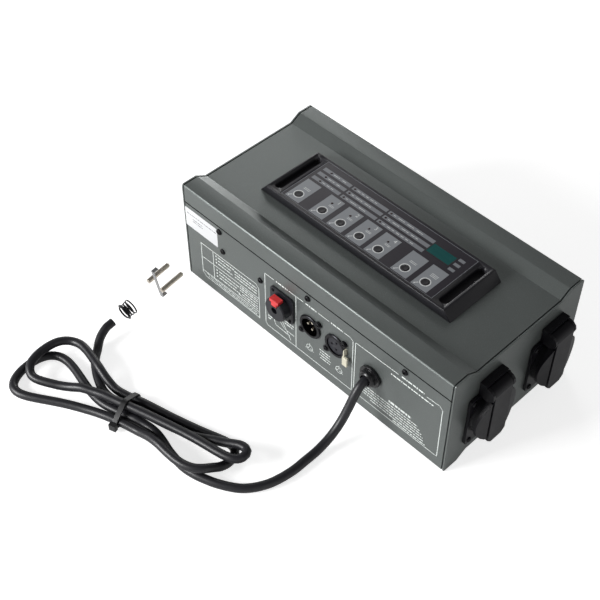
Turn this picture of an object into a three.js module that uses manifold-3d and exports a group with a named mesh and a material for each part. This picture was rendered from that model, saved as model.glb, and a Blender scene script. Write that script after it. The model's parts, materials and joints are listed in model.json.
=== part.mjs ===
import * as THREE from 'three';
import { mergeVertices } from 'three/addons/utils/BufferGeometryUtils.js';
import Module from 'manifold-3d';

const wasm = await Module();
wasm.setup();

// Case, in millimetres. Its own corner is front, bottom, left: x to the right, y to the rear, z up
const caseLength = 320;
const caseDepth = 161.5;
const caseHeight = 112.9;
const sheet = 1.5;
const bendRadius = 0.6;
const bendSteps = 3;
const sameCorner = 1e-4;
const railWidth = 16.6;
const valleyEdge = 27.7;
const valleyDrop = 6.3;
const seamDrop = 19.6;
const seamGap = 1.1;
const endGap = 1.1;
const seat = 0.3;
const overrun = 1;
const lipTabDrop = 12;
const lipTabRise = 4;
const returnDepth = 12;
const returnSheet = 1.2;

// Screws
const seamScrewDrop = 5.6;
const seamScrewShares = [0.152, 0.5, 0.845];
const screwHeadRadius = 3;
const screwHeadHeight = 1.8;
const screwShankRadius = 1.5;
const screwLength = 6;
const screwClearance = 0.3;

// Outlets on the two ends
const outletSpan = 78.9;
const outletRearShift = 4.2;
const outletHeight = 50;
const flangeWidth = 50;
const flangeBelow = 30;
const flangeAbove = 27;
const flangeThickness = 3;
const flangeCorner = 3;
const collarRadius = 23.5;
const collarReach = 8;
const cupRadius = 19.6;
const cupDepth = 17.3;
const outletBackRadius = 21.6;
const outletBackDepth = 22;
const pinPitch = 19;
const pinHoleRadius = 2.7;
const pinHoleDepth = 9;
const cupRibWidth = 5.2;
const cupRibReach = 2.4;
const clipWidth = 4.2;
const clipReach = 2.6;
const clipSheet = 0.8;
const clipLength = 13;
const clipBendShare = 2 / 3;
const hingeOut = 8.3;
const hingeUp = 32.3;
const barrelRadius = 7;
const barrelHalf = 11;
const cheekSheet = 2.3;
const towerRoof = 1.7;
const hingePinRadius = 1.4;
const hingePinSkin = 0.8;
const hingeClearance = 0.3;
const springWell = 3.2;
const springHalf = 3.6;
const springWire = 0.45;
const springCurls = 3;
const lidRadius = 25.2;
const lidFace = 14.3;
const lidBack = 8.4;
const lidShoulder = [12.4, 24.4];
const lidWall = 2;
const lidEdge = 2.6;
const lidHollow = 1.4;
const lidPlugRadius = 18.4;
const lidPlugDepth = 1.8;
const stripFace = 15.3;
const stripBottom = 29.4;
const stripTaper = 4.4;
const grooveWidth = 1.3;
const grooveDepth = 1.5;

// Control panel on the valley floor
const panelLength = 222;
const panelDepth = 65;
const panelHeight = 9.1;
const panelEndSlope = 7.5;
const panelRearShift = 2;
const panelWallTop = 2;
const recessDepth = 1;
const overlayThickness = 0.6;
const overlaySeat = 0.1;
const overlayEndGap = 3.25;
const overlayMargin = 2.6;
const overlayGap = 0.25;
const cavityEndWall = 1.75;
const cavityMargin = 3;
const slotInset = 15;
const slotWidth = 9.5;
const slotLength = 55;
const slotDepth = 6;
const slotEndRadius = 4.6;
const keyLineShare = -0.326;
const keyShares = [-0.431, -0.266, -0.141, -0.015, 0.11, 0.2825, 0.41];
const keyRadius = 3.6;
const keyGap = 0.25;
const keyProud = 0.5;
const keyFoot = 0.9;
const keyFootSheet = 0.8;
const displayShares = [0.344, 0.2325];
const displaySize = [26, 13];
const displayLip = 1.3;
const lampRadius = 0.9;
const lampHole = 0.25;
const lampLineShares = [0.097, 0.2174, 0.3395];
const lampColumnShares = [-0.424, -0.2585, -0.0113];
const channelLampShare = -0.1187;
const channelKeys = [1, 2, 3, 4];
const boardThickness = 1.6;
const boardMargin = 0.6;
const boardPostRadius = 2.4;
const boardPostInset = 5;
const boardLift = 0.8;
const switchSide = 6;
const switchHeight = 1.9;
const moduleHeight = 2.2;
const wirePass = [70, 26];

// Jack socket with its release tab
const jackX = 129.6;
const jackDrop = 36.9;
const jackFlange = [28, 31.4];
const jackFlangeSheet = 2.4;
const jackCorner = 3.2;
const jackNoseRadius = 12;
const jackNoseReach = 11;
const jackBoreRadius = 3.5;
const jackBoreDepth = 30;
const jackBackRadius = 11.4;
const jackBackDepth = 24;
const jackNoseChamfer = 1;
const tabBar = [10.8, 3.6];
const tabStem = [6.4, 3.9];
const tabBase = 5.8;
const tabTravel = 1.2;
const tabProud = 0.6;
const tabDepth = 6;

// Data connectors
const dmxX = [163.7, 194];
const dmxDrop = 38.1;
const ringRadius = 12.3;
const ringReach = 1.8;
const ringBevel = 0.6;
const earSheet = 1.3;
const dmxCavityRadius = 9.3;
const dmxCavityDepth = 13;
const dmxBackRadius = 10.9;
const dmxBackDepth = 18;
const earOffset = [10.4, 10.9];
const earRadius = 3.3;
const contactCircle = 4.2;
const contactTurnShares = [1 / 2, 5 / 24, -5 / 24];
const contactRadius = 1.1;
const contactTip = 0.3;
const contactTail = 3;
const pinInsertSheet = 2.4;
const insertDrop = 1.1;
const insertHoleRadius = 1.25;
const insertHoleDepth = 8;
const latchStem = [1.4, 7.4];
const latchStemOut = 11.4;
const latchStemRear = 2.6;
const latchStemTop = 6;
const latchThumb = [5.6, 9.4];
const latchThumbSheet = 2.1;
const latchThumbTop = -1.6;
const latchThumbFront = 4.5;
const latchRoom = 1.1;

// Cord bushing, cord, hank and plug
const bushingX = 235.5;
const bushingDrop = 40.8;
const bushingFlange = 11;
const bushingFlangeSheet = 3.2;
const bushingNose = 8.2;
const bushingReach = 8.2;
const bushingBack = 7.6;
const bushingInside = 9;
const bushingChamfer = 1.6;
const bushingFlare = 0.7;
const cordDiameter = 8;
const cordGap = 0.3;
const cordSides = 8;
const boreClearance = 0.4;
const cordRest = 4.12;
const waistHalf = 9;
const waistLift = 1.7;
const strandPitch = 8.8;
const strandPlaces = [-0.5, -1.5, 1.5, 0, 0.5];
const topStrandShare = 0.976;
const waistShare = 0.08;
const loopFullness = 1.3;
const hankTurn = 17.9;
const hankPlace = [90.5, -149.5];
const loopSteps = 24;
const loopSides = 6;
const waistFacet = 0.1;
const leadRise = [12.1, -116.5, 8.7];
const tieSheet = 1.2;
const tieWidth = 5;
const tieHead = [6.6, 4.2, 7.4];
const plugPlace = [6.4, -38.4, 21.7];
const plugTurn = 92.6;
const plugTilt = 7.4;
const plugRoll = -5.4;
const plugLength = 61;
const plugRadius = 18.6;
const plugRim = 0.9;
const plugShoulder = 25;
const plugNeckShape = [[15.4, 27.4], [12.9, 30], [10.9, 33.4], [9.5, 37]];
const plugRelief = 17;
const plugFinCount = 6;
const plugFinDepth = 2.1;
const plugCollarRadius = 7.2;
const plugTail = 6;
const plugNotch = [5.4, 2.8, 4.5];
const plugScoop = [15, 2.4, 16];
const plugPinRadius = 2.4;
const plugPinReach = 17.5;
const plugPinRoot = 9;
const earthStrip = [4, 0.8, 6.5];
const earthStripSink = 1.2;

// Rear panel
const fuseRadius = 6.6;
const fuseNutRadius = 9;
const fuseNutSheet = 3;
const fuseBodyDepth = 30;
const fuseCapRadius = 6.2;
const fuseCapReach = 10;
const fuseX = 62;
const fuseHeight = 62;
const fuseWall = 2.6;
const fuseStem = 14;
const ventWidth = 2.6;
const ventHeight = 34;
const ventPitch = 7;
const ventCount = 10;
const ventFirst = 150;
const ventBase = 32;
const floorVentCount = 8;
const floorVentLength = 46;

// Parts inside the case
const powerBoardEnd = 35;
const powerBoardDepth = 128;
const powerBoardFront = 6;
const powerBoardLift = 6;
const studRadius = 3;
const studInset = 20;
const studHalfSpan = 40;
const coolerLeft = 39;
const coolerBottom = 36;
const coolerWidth = 74;
const coolerTopGap = 3.3;
const coolerPlate = 4;
const coolerFinReach = 18;
const coolerFinCount = 5;
const coolerFinSheet = 1.6;
const coolerFinShare = 3 / 7;
const triacSize = [10.2, 4.5, 15];
const triacLead = [5.4, 0.8];
const triacCount = 4;
const chokeRadius = 13;
const chokeBore = 6;
const chokeHeight = 12;
const chokePitchShare = 0.106;
const chokeFirstShare = 0.194;
const chokeY = 92;
const chokeCount = 4;
const transformerSize = [44, 36, 34];
const transformerShare = 0.7375;
const transformerY = 96;
const bobbinSize = [30, 42, 24];
const terminalSize = [66, 12, 14];
const terminalShare = 0.55;
const terminalY = 45;
const terminalWays = 6;
const terminalWell = 2.5;

// Sizes that follow from those above
const seamHeight = caseHeight - seamDrop;
const jackZ = seamHeight - jackDrop;
const dmxZ = seamHeight - dmxDrop;
const bushingZ = seamHeight - bushingDrop;
const valleyHeight = caseHeight - valleyDrop;
const panelBase = valleyHeight + seat;
const panelTop = panelBase + panelHeight;
const slotSpan = panelLength - slotInset * 2;
const panelX = caseLength / 2;
const panelY = caseDepth / 2 + panelRearShift;
const outletY = [-1, 1].map((side) => caseDepth / 2 + outletRearShift + side * outletSpan / 2);
const betweenSlots = slotSpan - slotWidth;
const overlayLength = betweenSlots - overlayEndGap * 2;
const overlayDepth = panelDepth - overlayMargin * 2;
const cavityLength = betweenSlots - cavityEndWall * 2;
const cavityDepth = panelDepth - cavityMargin * 2;
const recessFloor = panelTop - recessDepth;
const panelCeiling = recessFloor - panelWallTop;
const boardBottom = panelBase + boardLift;
const boardTop = boardBottom + boardThickness;
const cordRadius = cordDiameter / 2;
const boardLow = valleyDrop + sheet + seat + powerBoardLift;
const boardHigh = boardLow + boardThickness;
const onBoard = boardHigh + seat;
const coolerTop = seamHeight - lipTabDrop - coolerTopGap;
const coolerFinBase = coolerBottom + (coolerTop - coolerBottom) * coolerFinShare;
const powerBoardLength = caseLength - powerBoardEnd * 2;
const studPitch = powerBoardLength / 2 - studInset;
const studPlaces = [-1, 0, 1].flatMap((step) => [-1, 1].map((side) => (
  [caseLength / 2 + step * studPitch, caseDepth / 2 + side * studHalfSpan])));
const transformerAt = [transformerShare * caseLength, transformerY];
const terminalAt = [terminalShare * caseLength, terminalY];
const outerBend = bendRadius + sheet;
const frontReach = jackNoseReach + tabProud;
const strandWaist = strandPlaces.map((place) => place * strandPitch);
const strandRise = Math.sqrt(3) / 2;
const rearReach = fuseNutSheet + seat + fuseCapReach;

const X = new THREE.Vector3(1, 0, 0);
const Y = new THREE.Vector3(0, 1, 0);
const Z = new THREE.Vector3(0, 0, 1);
const half = (value) => value / 2;
const ordered = (a, b) => [Math.min(a, b), Math.max(a, b)];

// Meshes that share their corners, without the triangles that a pole leaves flat
function bare(geometry) {
  const loose = geometry.index ? geometry.toNonIndexed() : geometry.clone();
  for (const name of Object.keys(loose.attributes)) {
    if (name !== 'position') loose.deleteAttribute(name);
  }
  const merged = mergeVertices(loose, sameCorner);
  const kept = [];
  const corner = merged.index.array;
  for (let i = 0; i < corner.length; i += 3) {
    const [a, b, c] = [corner[i], corner[i + 1], corner[i + 2]];
    if (a !== b && b !== c && c !== a) kept.push(a, b, c);
  }
  merged.setIndex(kept);
  return merged;
}

function solid(geometry) {
  const mesh = bare(geometry);
  return new wasm.Manifold(new wasm.Mesh({
    numProp: 3,
    vertProperties: new Float32Array(mesh.attributes.position.array),
    triVerts: new Uint32Array(mesh.index.array),
  }));
}

function shell(manifold) {
  const mesh = manifold.getMesh();
  const geometry = new THREE.BufferGeometry();
  const corners = new Float32Array(mesh.vertProperties);
  geometry.setAttribute('position', new THREE.BufferAttribute(corners, 3));
  geometry.setIndex(Array.from(mesh.triVerts));
  return geometry;
}

const join = (...parts) => shell(parts.map(solid).reduce((all, one) => all.add(one)));
const common = (a, b) => shell(solid(a).intersect(solid(b)));
function cut(body, ...tools) {
  return shell(tools.map(solid).reduce((left, tool) => left.subtract(tool), solid(body)));
}

function moved(geometry, x, y, z) {
  return geometry.clone().translate(x, y, z);
}

function block(x0, x1, y0, y1, z0, z1) {
  const box = new THREE.BoxGeometry(x1 - x0, y1 - y0, z1 - z0);
  return box.translate(half(x0 + x1), half(y0 + y1), half(z0 + z1));
}

const turns = {
  x: new THREE.Matrix4().makeBasis(Y, Z, X),
  y: new THREE.Matrix4().makeBasis(X, Z, Y.clone().negate()),
  z: new THREE.Matrix4(),
};

// The same faces, turned over where they enclose a negative volume
function outward(geometry) {
  const place = geometry.attributes.position;
  const corner = geometry.index.array;
  const [a, b, c] = [new THREE.Vector3(), new THREE.Vector3(), new THREE.Vector3()];
  let volume = 0;
  for (let i = 0; i < corner.length; i += 3) {
    a.fromBufferAttribute(place, corner[i]);
    b.fromBufferAttribute(place, corner[i + 1]);
    c.fromBufferAttribute(place, corner[i + 2]);
    volume += a.dot(b.cross(c));
  }
  if (volume < 0) geometry.setIndex(Array.from(corner).reverse());
  return geometry;
}

// A revolved profile of [radius, place along the axis] pairs
function spun(axis, profile, sides) {
  const lathe = new THREE.LatheGeometry(profile.map(([r, h]) => new THREE.Vector2(r, h)), sides);
  lathe.rotateX(Math.PI / 2);
  if (axis === 'y') lathe.rotateY(Math.PI);
  return outward(bare(lathe.applyMatrix4(turns[axis])));
}

function rod(axis, radius, from, to, sides) {
  return spun(axis, [[0, from], [radius, from], [radius, to], [0, to]], sides);
}

function tube(axis, outer, inner, from, to, sides) {
  return spun(axis, [[inner, from], [outer, from], [outer, to], [inner, to], [inner, from]], sides);
}

// An outline in the plane square to the axis, drawn out from one place to another
function drawn(axis, outline, from, to, holes = []) {
  const shape = new THREE.Shape(outline.map(([a, b]) => new THREE.Vector2(a, b)));
  for (const hole of holes) {
    shape.holes.push(new THREE.Path(hole.map(([a, b]) => new THREE.Vector2(a, b))));
  }
  const geometry = new THREE.ExtrudeGeometry(shape, { depth: to - from, bevelEnabled: false });
  return geometry.translate(0, 0, axis === 'y' ? -to : from).applyMatrix4(turns[axis]);
}

const direction = ([x0, y0], [x1, y1]) => {
  const length = Math.hypot(x1 - x0, y1 - y0);
  return [(x1 - x0) / length, (y1 - y0) / length];
};
const turning = (d, e) => d[0] * e[1] - d[1] * e[0];

// The same line a distance to its left, with mitred corners
function beside(points, distance, closed) {
  const count = points.length;
  return points.map((point, i) => {
    const before = closed || i > 0 ? direction(points[(i + count - 1) % count], point) : null;
    const after = closed || i < count - 1 ? direction(point, points[(i + 1) % count]) : null;
    const [d, e] = [before ?? after, after ?? before];
    const share = distance / (1 + d[0] * e[0] + d[1] * e[1]);
    return [point[0] - (d[1] + e[1]) * share, point[1] + (d[0] + e[0]) * share];
  });
}

// Corners turned into arcs, with one radius for corners to the left and one for corners to the right
function softened(points, leftRadius, rightRadius, closed, steps = bendSteps) {
  const count = points.length;
  return points.flatMap((point, i) => {
    if (!closed && (i === 0 || i === count - 1)) return [point];
    const d = direction(points[(i + count - 1) % count], point);
    const e = direction(point, points[(i + 1) % count]);
    const turn = turning(d, e);
    const radius = turn > 0 ? leftRadius : rightRadius;
    if (radius <= 0 || turn === 0) return [point];
    const angle = Math.atan2(turn, d[0] * e[0] + d[1] * e[1]);
    const reach = radius * Math.tan(Math.abs(angle) / 2);
    const side = Math.sign(turn);
    const start = [point[0] - d[0] * reach, point[1] - d[1] * reach];
    const centre = [start[0] - d[1] * radius * side, start[1] + d[0] * radius * side];
    return Array.from({ length: steps + 1 }, (_, k) => {
      const a = angle * k / steps;
      const [dx, dy] = [start[0] - centre[0], start[1] - centre[1]];
      const [c, s] = [Math.cos(a), Math.sin(a)];
      return [centre[0] + dx * c - dy * s, centre[1] + dx * s + dy * c];
    });
  });
}

// Sheet metal folded along a line, with its thickness to the left of the line
function foldedSheet(line) {
  const face = softened(line, outerBend, bendRadius, false);
  const back = softened(beside(line, sheet, false), bendRadius, outerBend, false);
  return [...face, ...back.reverse()];
}

const rectangle = (a, b) => [[-a / 2, -b / 2], [a / 2, -b / 2], [a / 2, b / 2], [-a / 2, b / 2]];
const roundedBox = (a, b, radius, steps) => softened(rectangle(a, b), radius, radius, true, steps);
const arc = (radius, from, to, steps) => Array.from({ length: steps + 1 }, (_, i) => {
  const angle = from + (to - from) * i / steps;
  return [radius * Math.cos(angle), radius * Math.sin(angle)];
});

// A round hole through a wall that faces along the axis
const holeY = (radius, x, z, from, to, sides = 12) => moved(rod('y', radius, from, to, sides), x, 0, z);
const holeZ = (radius, x, y, from, to, sides = 12) => moved(rod('z', radius, from, to, sides), x, y, 0);

const finishes = {
  paint: { color: 0x5f6661, roughness: 0.42, metalness: 0.35 },
  black: { color: 0x17171a, roughness: 0.45, metalness: 0 },
  softBlack: { color: 0x232326, roughness: 0.6, metalness: 0 },
  screwBlack: { color: 0x111113, roughness: 0.35, metalness: 0.6 },
  steel: { color: 0xa8abad, roughness: 0.35, metalness: 0.9 },
  nickel: { color: 0xc8c2b4, roughness: 0.25, metalness: 0.95 },
  brass: { color: 0xb08d57, roughness: 0.35, metalness: 0.9 },
  cream: { color: 0xd8d2bf, roughness: 0.5, metalness: 0.2 },
  red: { color: 0xd8343a, roughness: 0.4, metalness: 0 },
  teal: { color: 0x0a5a55, roughness: 0.15, metalness: 0 },
  label: { color: 0x2a282d, roughness: 0.5, metalness: 0 },
  board: { color: 0x1f5a35, roughness: 0.6, metalness: 0 },
  aluminium: { color: 0x9a9da0, roughness: 0.5, metalness: 0.8 },
  copper: { color: 0xa8643a, roughness: 0.4, metalness: 0.8 },
};

const pack = new THREE.Group();
pack.position.set(-caseLength / 2, -(caseDepth + rearReach - frontReach) / 2, 0);

function piece(name, geometry, finish) {
  const mesh = new THREE.Mesh(bare(geometry), new THREE.MeshStandardMaterial(finishes[finish]));
  mesh.name = name;
  pack.add(mesh);
}

function seamScrew(x) {
  const face = -screwHeadHeight - overlaySeat;
  const profile = [[0, face], [screwHeadRadius, face], [screwHeadRadius, -overlaySeat],
    [screwShankRadius, -overlaySeat], [screwShankRadius, screwLength], [0, screwLength]];
  return moved(spun('y', profile, 12), x, 0, seamScrewZ);
}

const wideHole = screwShankRadius + screwClearance;
const seamScrewZ = seamHeight - seamScrewDrop;
const seamScrewX = seamScrewShares.map((share) => share * caseLength);

// Folded case
const crown = [[caseDepth, caseHeight], [caseDepth - railWidth, caseHeight],
  [caseDepth - valleyEdge, valleyHeight], [valleyEdge, valleyHeight],
  [railWidth, caseHeight], [0, caseHeight]];
const belly = crown.map(([y, z]) => [y, caseHeight - z]).reverse();
const caseOutline = [...belly, ...crown];
const sheetStart = sheet + endGap;

function seamTab(side) {
  const place = (y) => (side < 0 ? y : caseDepth - y);
  const [near, far] = ordered(place(sheet + seat), place(sheet + seat + sheet));
  const [joggleNear, joggleFar] = ordered(place(half(sheet)), place(sheet + seat + sheet));
  const inset = sheet + returnDepth + endGap;
  const top = seamHeight + lipTabRise;
  const reach = [inset, caseLength - inset];
  return join(block(...reach, near, far, seamHeight - lipTabDrop, top),
    block(...reach, joggleNear, joggleFar, seamHeight + seamGap, top));
}

function topCover() {
  const line = [[caseDepth, seamHeight + half(seamGap)], ...crown, [0, seamHeight + half(seamGap)]];
  const folded = drawn('x', foldedSheet(line), sheetStart, caseLength - sheetStart);
  const through = [valleyHeight - sheet - overrun, valleyHeight + overrun];
  const wires = moved(drawn('z', rectangle(...wirePass), ...through), panelX, panelY, 0);
  const tabHoles = seamScrewX.map((x) => holeY(wideHole, x, seamScrewZ, 0, sheet * 3 + overrun, 8));
  return cut(join(folded, seamTab(-1), seamTab(1)), wires, ...tabHoles);
}

function frontOpenings() {
  const wall = [-overrun, sheet + overrun];
  return [
    holeY(jackBackRadius + seat, jackX, jackZ, ...wall, 16),
    ...dmxX.map((x) => holeY(dmxBackRadius + seat, x, dmxZ, ...wall, 16)),
    moved(drawn('y', latchSlot(), ...wall), dmxX[1], 0, dmxZ),
    holeY(bushingBack + seat, bushingX, bushingZ, ...wall, 16),
    ...seamScrewX.map((x) => holeY(wideHole, x, seamScrewZ, ...wall, 8)),
  ];
}

function rearOpenings() {
  const wall = [caseDepth - sheet - overrun, caseDepth + overrun];
  const vents = Array.from({ length: ventCount }, (_, i) => {
    const x = ventFirst + i * ventPitch;
    return block(x, x + ventWidth, ...wall, ventBase, ventBase + ventHeight);
  });
  return [holeY(fuseRadius + seat, fuseX, fuseHeight, ...wall, 12), ...vents];
}

function floorOpenings() {
  const floor = [valleyDrop - overrun, valleyDrop + sheet + overrun];
  const reach = [half(caseDepth - floorVentLength), half(caseDepth + floorVentLength)];
  return Array.from({ length: floorVentCount }, (_, i) => {
    const x = half(caseLength) + (i - half(floorVentCount)) * ventPitch;
    return block(x, x + ventWidth, ...reach, ...floor);
  });
}

function baseTray() {
  const line = [[0, seamHeight - half(seamGap)], ...belly, [caseDepth, seamHeight - half(seamGap)]];
  const folded = drawn('x', foldedSheet(line), sheetStart, caseLength - sheetStart);
  const opened = cut(folded, ...frontOpenings(), ...rearOpenings(), ...floorOpenings());
  const reach = [valleyDrop + half(sheet), boardLow - seat];
  return join(opened, ...studPlaces.map(([x, y]) => holeZ(studRadius, x, y, ...reach, 8)));
}

// The left end panel, which the right end repeats as in a mirror
function endPanel() {
  const plate = drawn('x', softened(caseOutline, outerBend, bendRadius, true), 0, sheet);
  const outerLine = beside(caseOutline, sheet + seat, true);
  const innerLine = beside(caseOutline, sheet + seat + returnSheet, true);
  const outer = softened(outerLine, returnSheet + bendRadius, bendRadius, true, 2);
  const inner = softened(innerLine, bendRadius, returnSheet + bendRadius, true, 2);
  const flange = drawn('x', outer, half(sheet), sheet + returnDepth, [inner]);
  const wall = [-overrun, sheet + overrun];
  const outletHoles = outletY.map((y) => (
    moved(rod('x', outletBackRadius + seat, ...wall, 16), 0, y, outletHeight)));
  return cut(join(plate, flange), ...outletHoles);
}

function mirrored(geometry) {
  return outward(bare(geometry.clone().scale(-1, 1, 1).translate(caseLength, 0, 0)));
}

// Outlets. Their own frame stands on the panel's face, x outward, z up
const outletMatrices = [
  ...outletY.map((y) => new THREE.Matrix4().makeTranslation(caseLength, y, outletHeight)),
  ...outletY.map((y) => new THREE.Matrix4().makeTranslation(0, y, outletHeight)
    .multiply(new THREE.Matrix4().makeRotationZ(Math.PI))),
];
const outletNames = ['right_front', 'right_rear', 'left_front', 'left_rear'];
const cupFloor = collarReach - cupDepth;
const cheekHalf = barrelHalf + hingeClearance + cheekSheet;
const pinRoom = cheekHalf - hingePinSkin;
const atHinge = (geometry) => moved(geometry, hingeOut, 0, hingeUp);

function hingeCheek(side) {
  const round = arc(barrelRadius + hingeClearance, -Math.PI / 2, Math.PI / 2, 6)
    .map(([x, z]) => [x + hingeOut, z + hingeUp]);
  const outline = [[seat, flangeAbove - overrun], [flangeThickness, flangeAbove - overrun],
    ...round, [seat, hingeUp + barrelRadius + hingeClearance]];
  const inside = side < 0 ? -cheekHalf : cheekHalf - cheekSheet;
  return drawn('y', outline, inside, inside + cheekSheet);
}

function outletBody() {
  const middle = half(flangeAbove - flangeBelow);
  const flange = moved(drawn('x', roundedBox(flangeWidth, flangeAbove + flangeBelow, flangeCorner, 2),
    seat, flangeThickness), 0, 0, middle);
  const collar = rod('x', collarRadius, seat, collarReach, 28);
  const back = rod('x', outletBackRadius, -outletBackDepth, flangeThickness, 16);
  const roofBase = hingeUp + barrelRadius + hingeClearance * 2;
  const roof = block(seat, hingeOut - overrun, -cheekHalf, cheekHalf, roofBase, roofBase + towerRoof);
  const struts = [-1, 1].map((side) => {
    const [near, far] = ordered(side * cheekHalf, side * (cheekHalf - cheekSheet));
    return block(seat, hingeOut - overrun, near, far, hingeUp, roofBase + half(towerRoof));
  });
  const body = join(flange, collar, back, roof, ...struts, hingeCheek(-1), hingeCheek(1));
  const cup = rod('x', cupRadius, cupFloor, collarReach + overrun, 20);
  const pin = rod('x', pinHoleRadius, cupFloor - pinHoleDepth, cupFloor + overrun, 8);
  const pins = [-1, 1].map((side) => moved(pin, 0, side * half(pinPitch), 0));
  const axle = atHinge(rod('y', hingePinRadius + hingeClearance, -pinRoom, pinRoom, 10));
  const hollowed = cut(body, cup, ...pins, axle);
  const ribReach = [cupFloor - overrun, lidBack - lidPlugDepth - seat];
  const ribs = [-1, 1].map((side) => {
    const [near, far] = ordered(side * (cupRadius - cupRibReach), side * (cupRadius + overrun));
    return block(...ribReach, near, far, -half(cupRibWidth), half(cupRibWidth));
  });
  return join(hollowed, ...ribs);
}

function lidOutline() {
  const [across, up] = lidShoulder;
  const corner = Math.atan2(up, across);
  const spread = Math.acos(lidRadius / Math.hypot(across, up));
  return [[-across, up], [across, up], ...arc(lidRadius, corner - spread, -Math.PI - corner + spread, 22)];
}

function lidStrip() {
  const bottom = -stripBottom;
  const outline = [[-barrelHalf, hingeUp], [-barrelHalf, bottom + stripTaper],
    [-barrelHalf + stripTaper, bottom], [barrelHalf - stripTaper, bottom],
    [barrelHalf, bottom + stripTaper], [barrelHalf, hingeUp]];
  return drawn('x', outline, lidBack + hingeClearance, stripFace);
}

function lid() {
  const crest = barrelHalf + grooveWidth;
  const slopes = drawn('z', [[lidBack, -lidRadius], [lidBack + lidEdge, -lidRadius], [lidFace, -crest],
    [lidFace, crest], [lidBack + lidEdge, lidRadius], [lidBack, lidRadius]], -lidRadius, lidShoulder[1]);
  const plate = common(drawn('x', lidOutline(), lidBack, lidFace), slopes);
  const barrel = atHinge(rod('y', barrelRadius, -barrelHalf, barrelHalf, 16));
  const hollow = rod('x', lidRadius - lidWall, lidBack - overrun, lidBack + lidHollow, 20);
  const shelled = cut(join(plate, barrel, lidStrip()), hollow);
  const plug = tube('x', lidPlugRadius, lidPlugRadius - lidWall, lidBack - lidPlugDepth,
    lidBack + lidHollow + half(lidWall), 16);
  const grooves = [-1, 1].map((side) => {
    const [near, far] = ordered(side * barrelHalf, side * (barrelHalf + grooveWidth));
    const top = lidShoulder[1] - grooveWidth;
    return block(lidFace - grooveDepth, lidFace + overrun, near, far, -lidRadius, top);
  });
  const axleHalf = barrelHalf + overrun;
  const axle = atHinge(rod('y', hingePinRadius + hingeClearance, -axleHalf, axleHalf, 10));
  const wellHalf = springHalf + springWire * 2;
  const well = atHinge(rod('y', springWell, -wellHalf, wellHalf, 10));
  return cut(join(shelled, plug), ...grooves, axle, well);
}

const hingePin = () => atHinge(rod('y', hingePinRadius, seat - pinRoom, pinRoom - seat, 8));

// A round wire or cord along a curve, with flat ends
function strand(curve, radius, steps, sides) {
  const section = new THREE.Shape(arc(radius, 0, Math.PI * 2 * (sides - 1) / sides, sides - 1)
    .map(([a, b]) => new THREE.Vector2(a, b)));
  return new THREE.ExtrudeGeometry(section, { steps, bevelEnabled: false, extrudePath: curve });
}

function lidSpring() {
  const radius = hingePinRadius + seat + springWire;
  const steps = springCurls * 6;
  const points = Array.from({ length: steps + 1 }, (_, i) => {
    const angle = Math.PI * 2 * springCurls * i / steps;
    const y = springHalf * (2 * i / steps - 1);
    return new THREE.Vector3(radius * Math.cos(angle), y, radius * Math.sin(angle));
  });
  return atHinge(strand(new THREE.CatmullRomCurve3(points), springWire, steps, 4));
}

// One earth strip that lies on the floor of the cup and stands up along its wall at both ends
function earthClip() {
  const base = cupFloor + seat;
  const wall = cupRadius - seat * 2;
  const bend = base + clipLength * clipBendShare;
  const end = base + clipLength;
  const outer = [[base, 0], [base, wall], [bend, wall], [end, wall - half(clipReach)]];
  const inner = [[end, wall - half(clipReach) - clipSheet], [bend, wall - clipSheet],
    [base + clipSheet, wall - clipSheet], [base + clipSheet, 0]];
  const upper = [...outer, ...inner];
  const lower = upper.slice(1, -1).reverse().map(([x, z]) => [x, -z]);
  return drawn('y', [...upper.slice(1, -1), ...lower], -half(clipWidth), half(clipWidth));
}

// Control panel. Its own frame is in the middle of its foot
const onPanel = (geometry) => moved(geometry, panelX, panelY, panelBase);
const rise = (z) => z - panelBase;
const keyX = keyShares.map((share) => share * overlayLength);
const keyY = keyLineShare * overlayDepth;
const displayCentre = [displayShares[0] * overlayLength, displayShares[1] * overlayDepth];
const lampPlaces = [
  ...lampLineShares.flatMap((line) => lampColumnShares.map((share) => (
    [share * overlayLength, line * overlayDepth]))),
  ...channelKeys.map((key) => [keyX[key], channelLampShare * overlayDepth]),
];
const boardSize = [cavityLength - boardMargin * 2, cavityDepth - boardMargin * 2];
const cornersOf = ([a, b]) => [-1, 1].flatMap((sideX) => [-1, 1].map((sideY) => [sideX * a, sideY * b]));
const postPlaces = cornersOf(boardSize.map((size) => half(size) - boardPostInset));
const slotFloor = panelHeight - slotDepth;

function panelThrough(from, to) {
  return [
    ...keyX.map((x) => holeZ(keyRadius + keyGap, x, keyY, from, to, 14)),
    ...lampPlaces.map(([x, y]) => holeZ(lampRadius + lampHole, x, y, from, to, 6)),
    moved(drawn('z', rectangle(displaySize[0] + keyGap * 2, displaySize[1] + keyGap * 2), from, to),
      ...displayCentre, 0),
  ];
}

function controlHousing() {
  const [foot, crest] = [half(panelLength), half(panelLength) - panelEndSlope];
  const body = drawn('y', [[-foot, 0], [foot, 0], [crest, panelHeight], [-crest, panelHeight]],
    -half(panelDepth), half(panelDepth));
  const recess = drawn('z', rectangle(overlayLength + overlayGap * 2, overlayDepth + overlayGap * 2),
    rise(recessFloor), panelHeight + overrun);
  const cavity = drawn('z', rectangle(cavityLength, cavityDepth), -overrun, rise(panelCeiling));
  const slots = [-1, 1].map((side) => moved(drawn('z', softened(rectangle(slotWidth, slotLength),
    slotEndRadius, 0, true, 4), slotFloor, panelHeight + overrun), side * half(slotSpan), 0, 0));
  const posts = postPlaces.map(([x, y]) => holeZ(boardPostRadius, x, y, rise(boardTop) + overlaySeat,
    rise(panelCeiling) + half(panelWallTop), 10));
  const hollowed = cut(body, recess, cavity, ...slots,
    ...panelThrough(rise(panelCeiling) - overrun, panelHeight));
  return onPanel(join(hollowed, ...posts));
}

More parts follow.
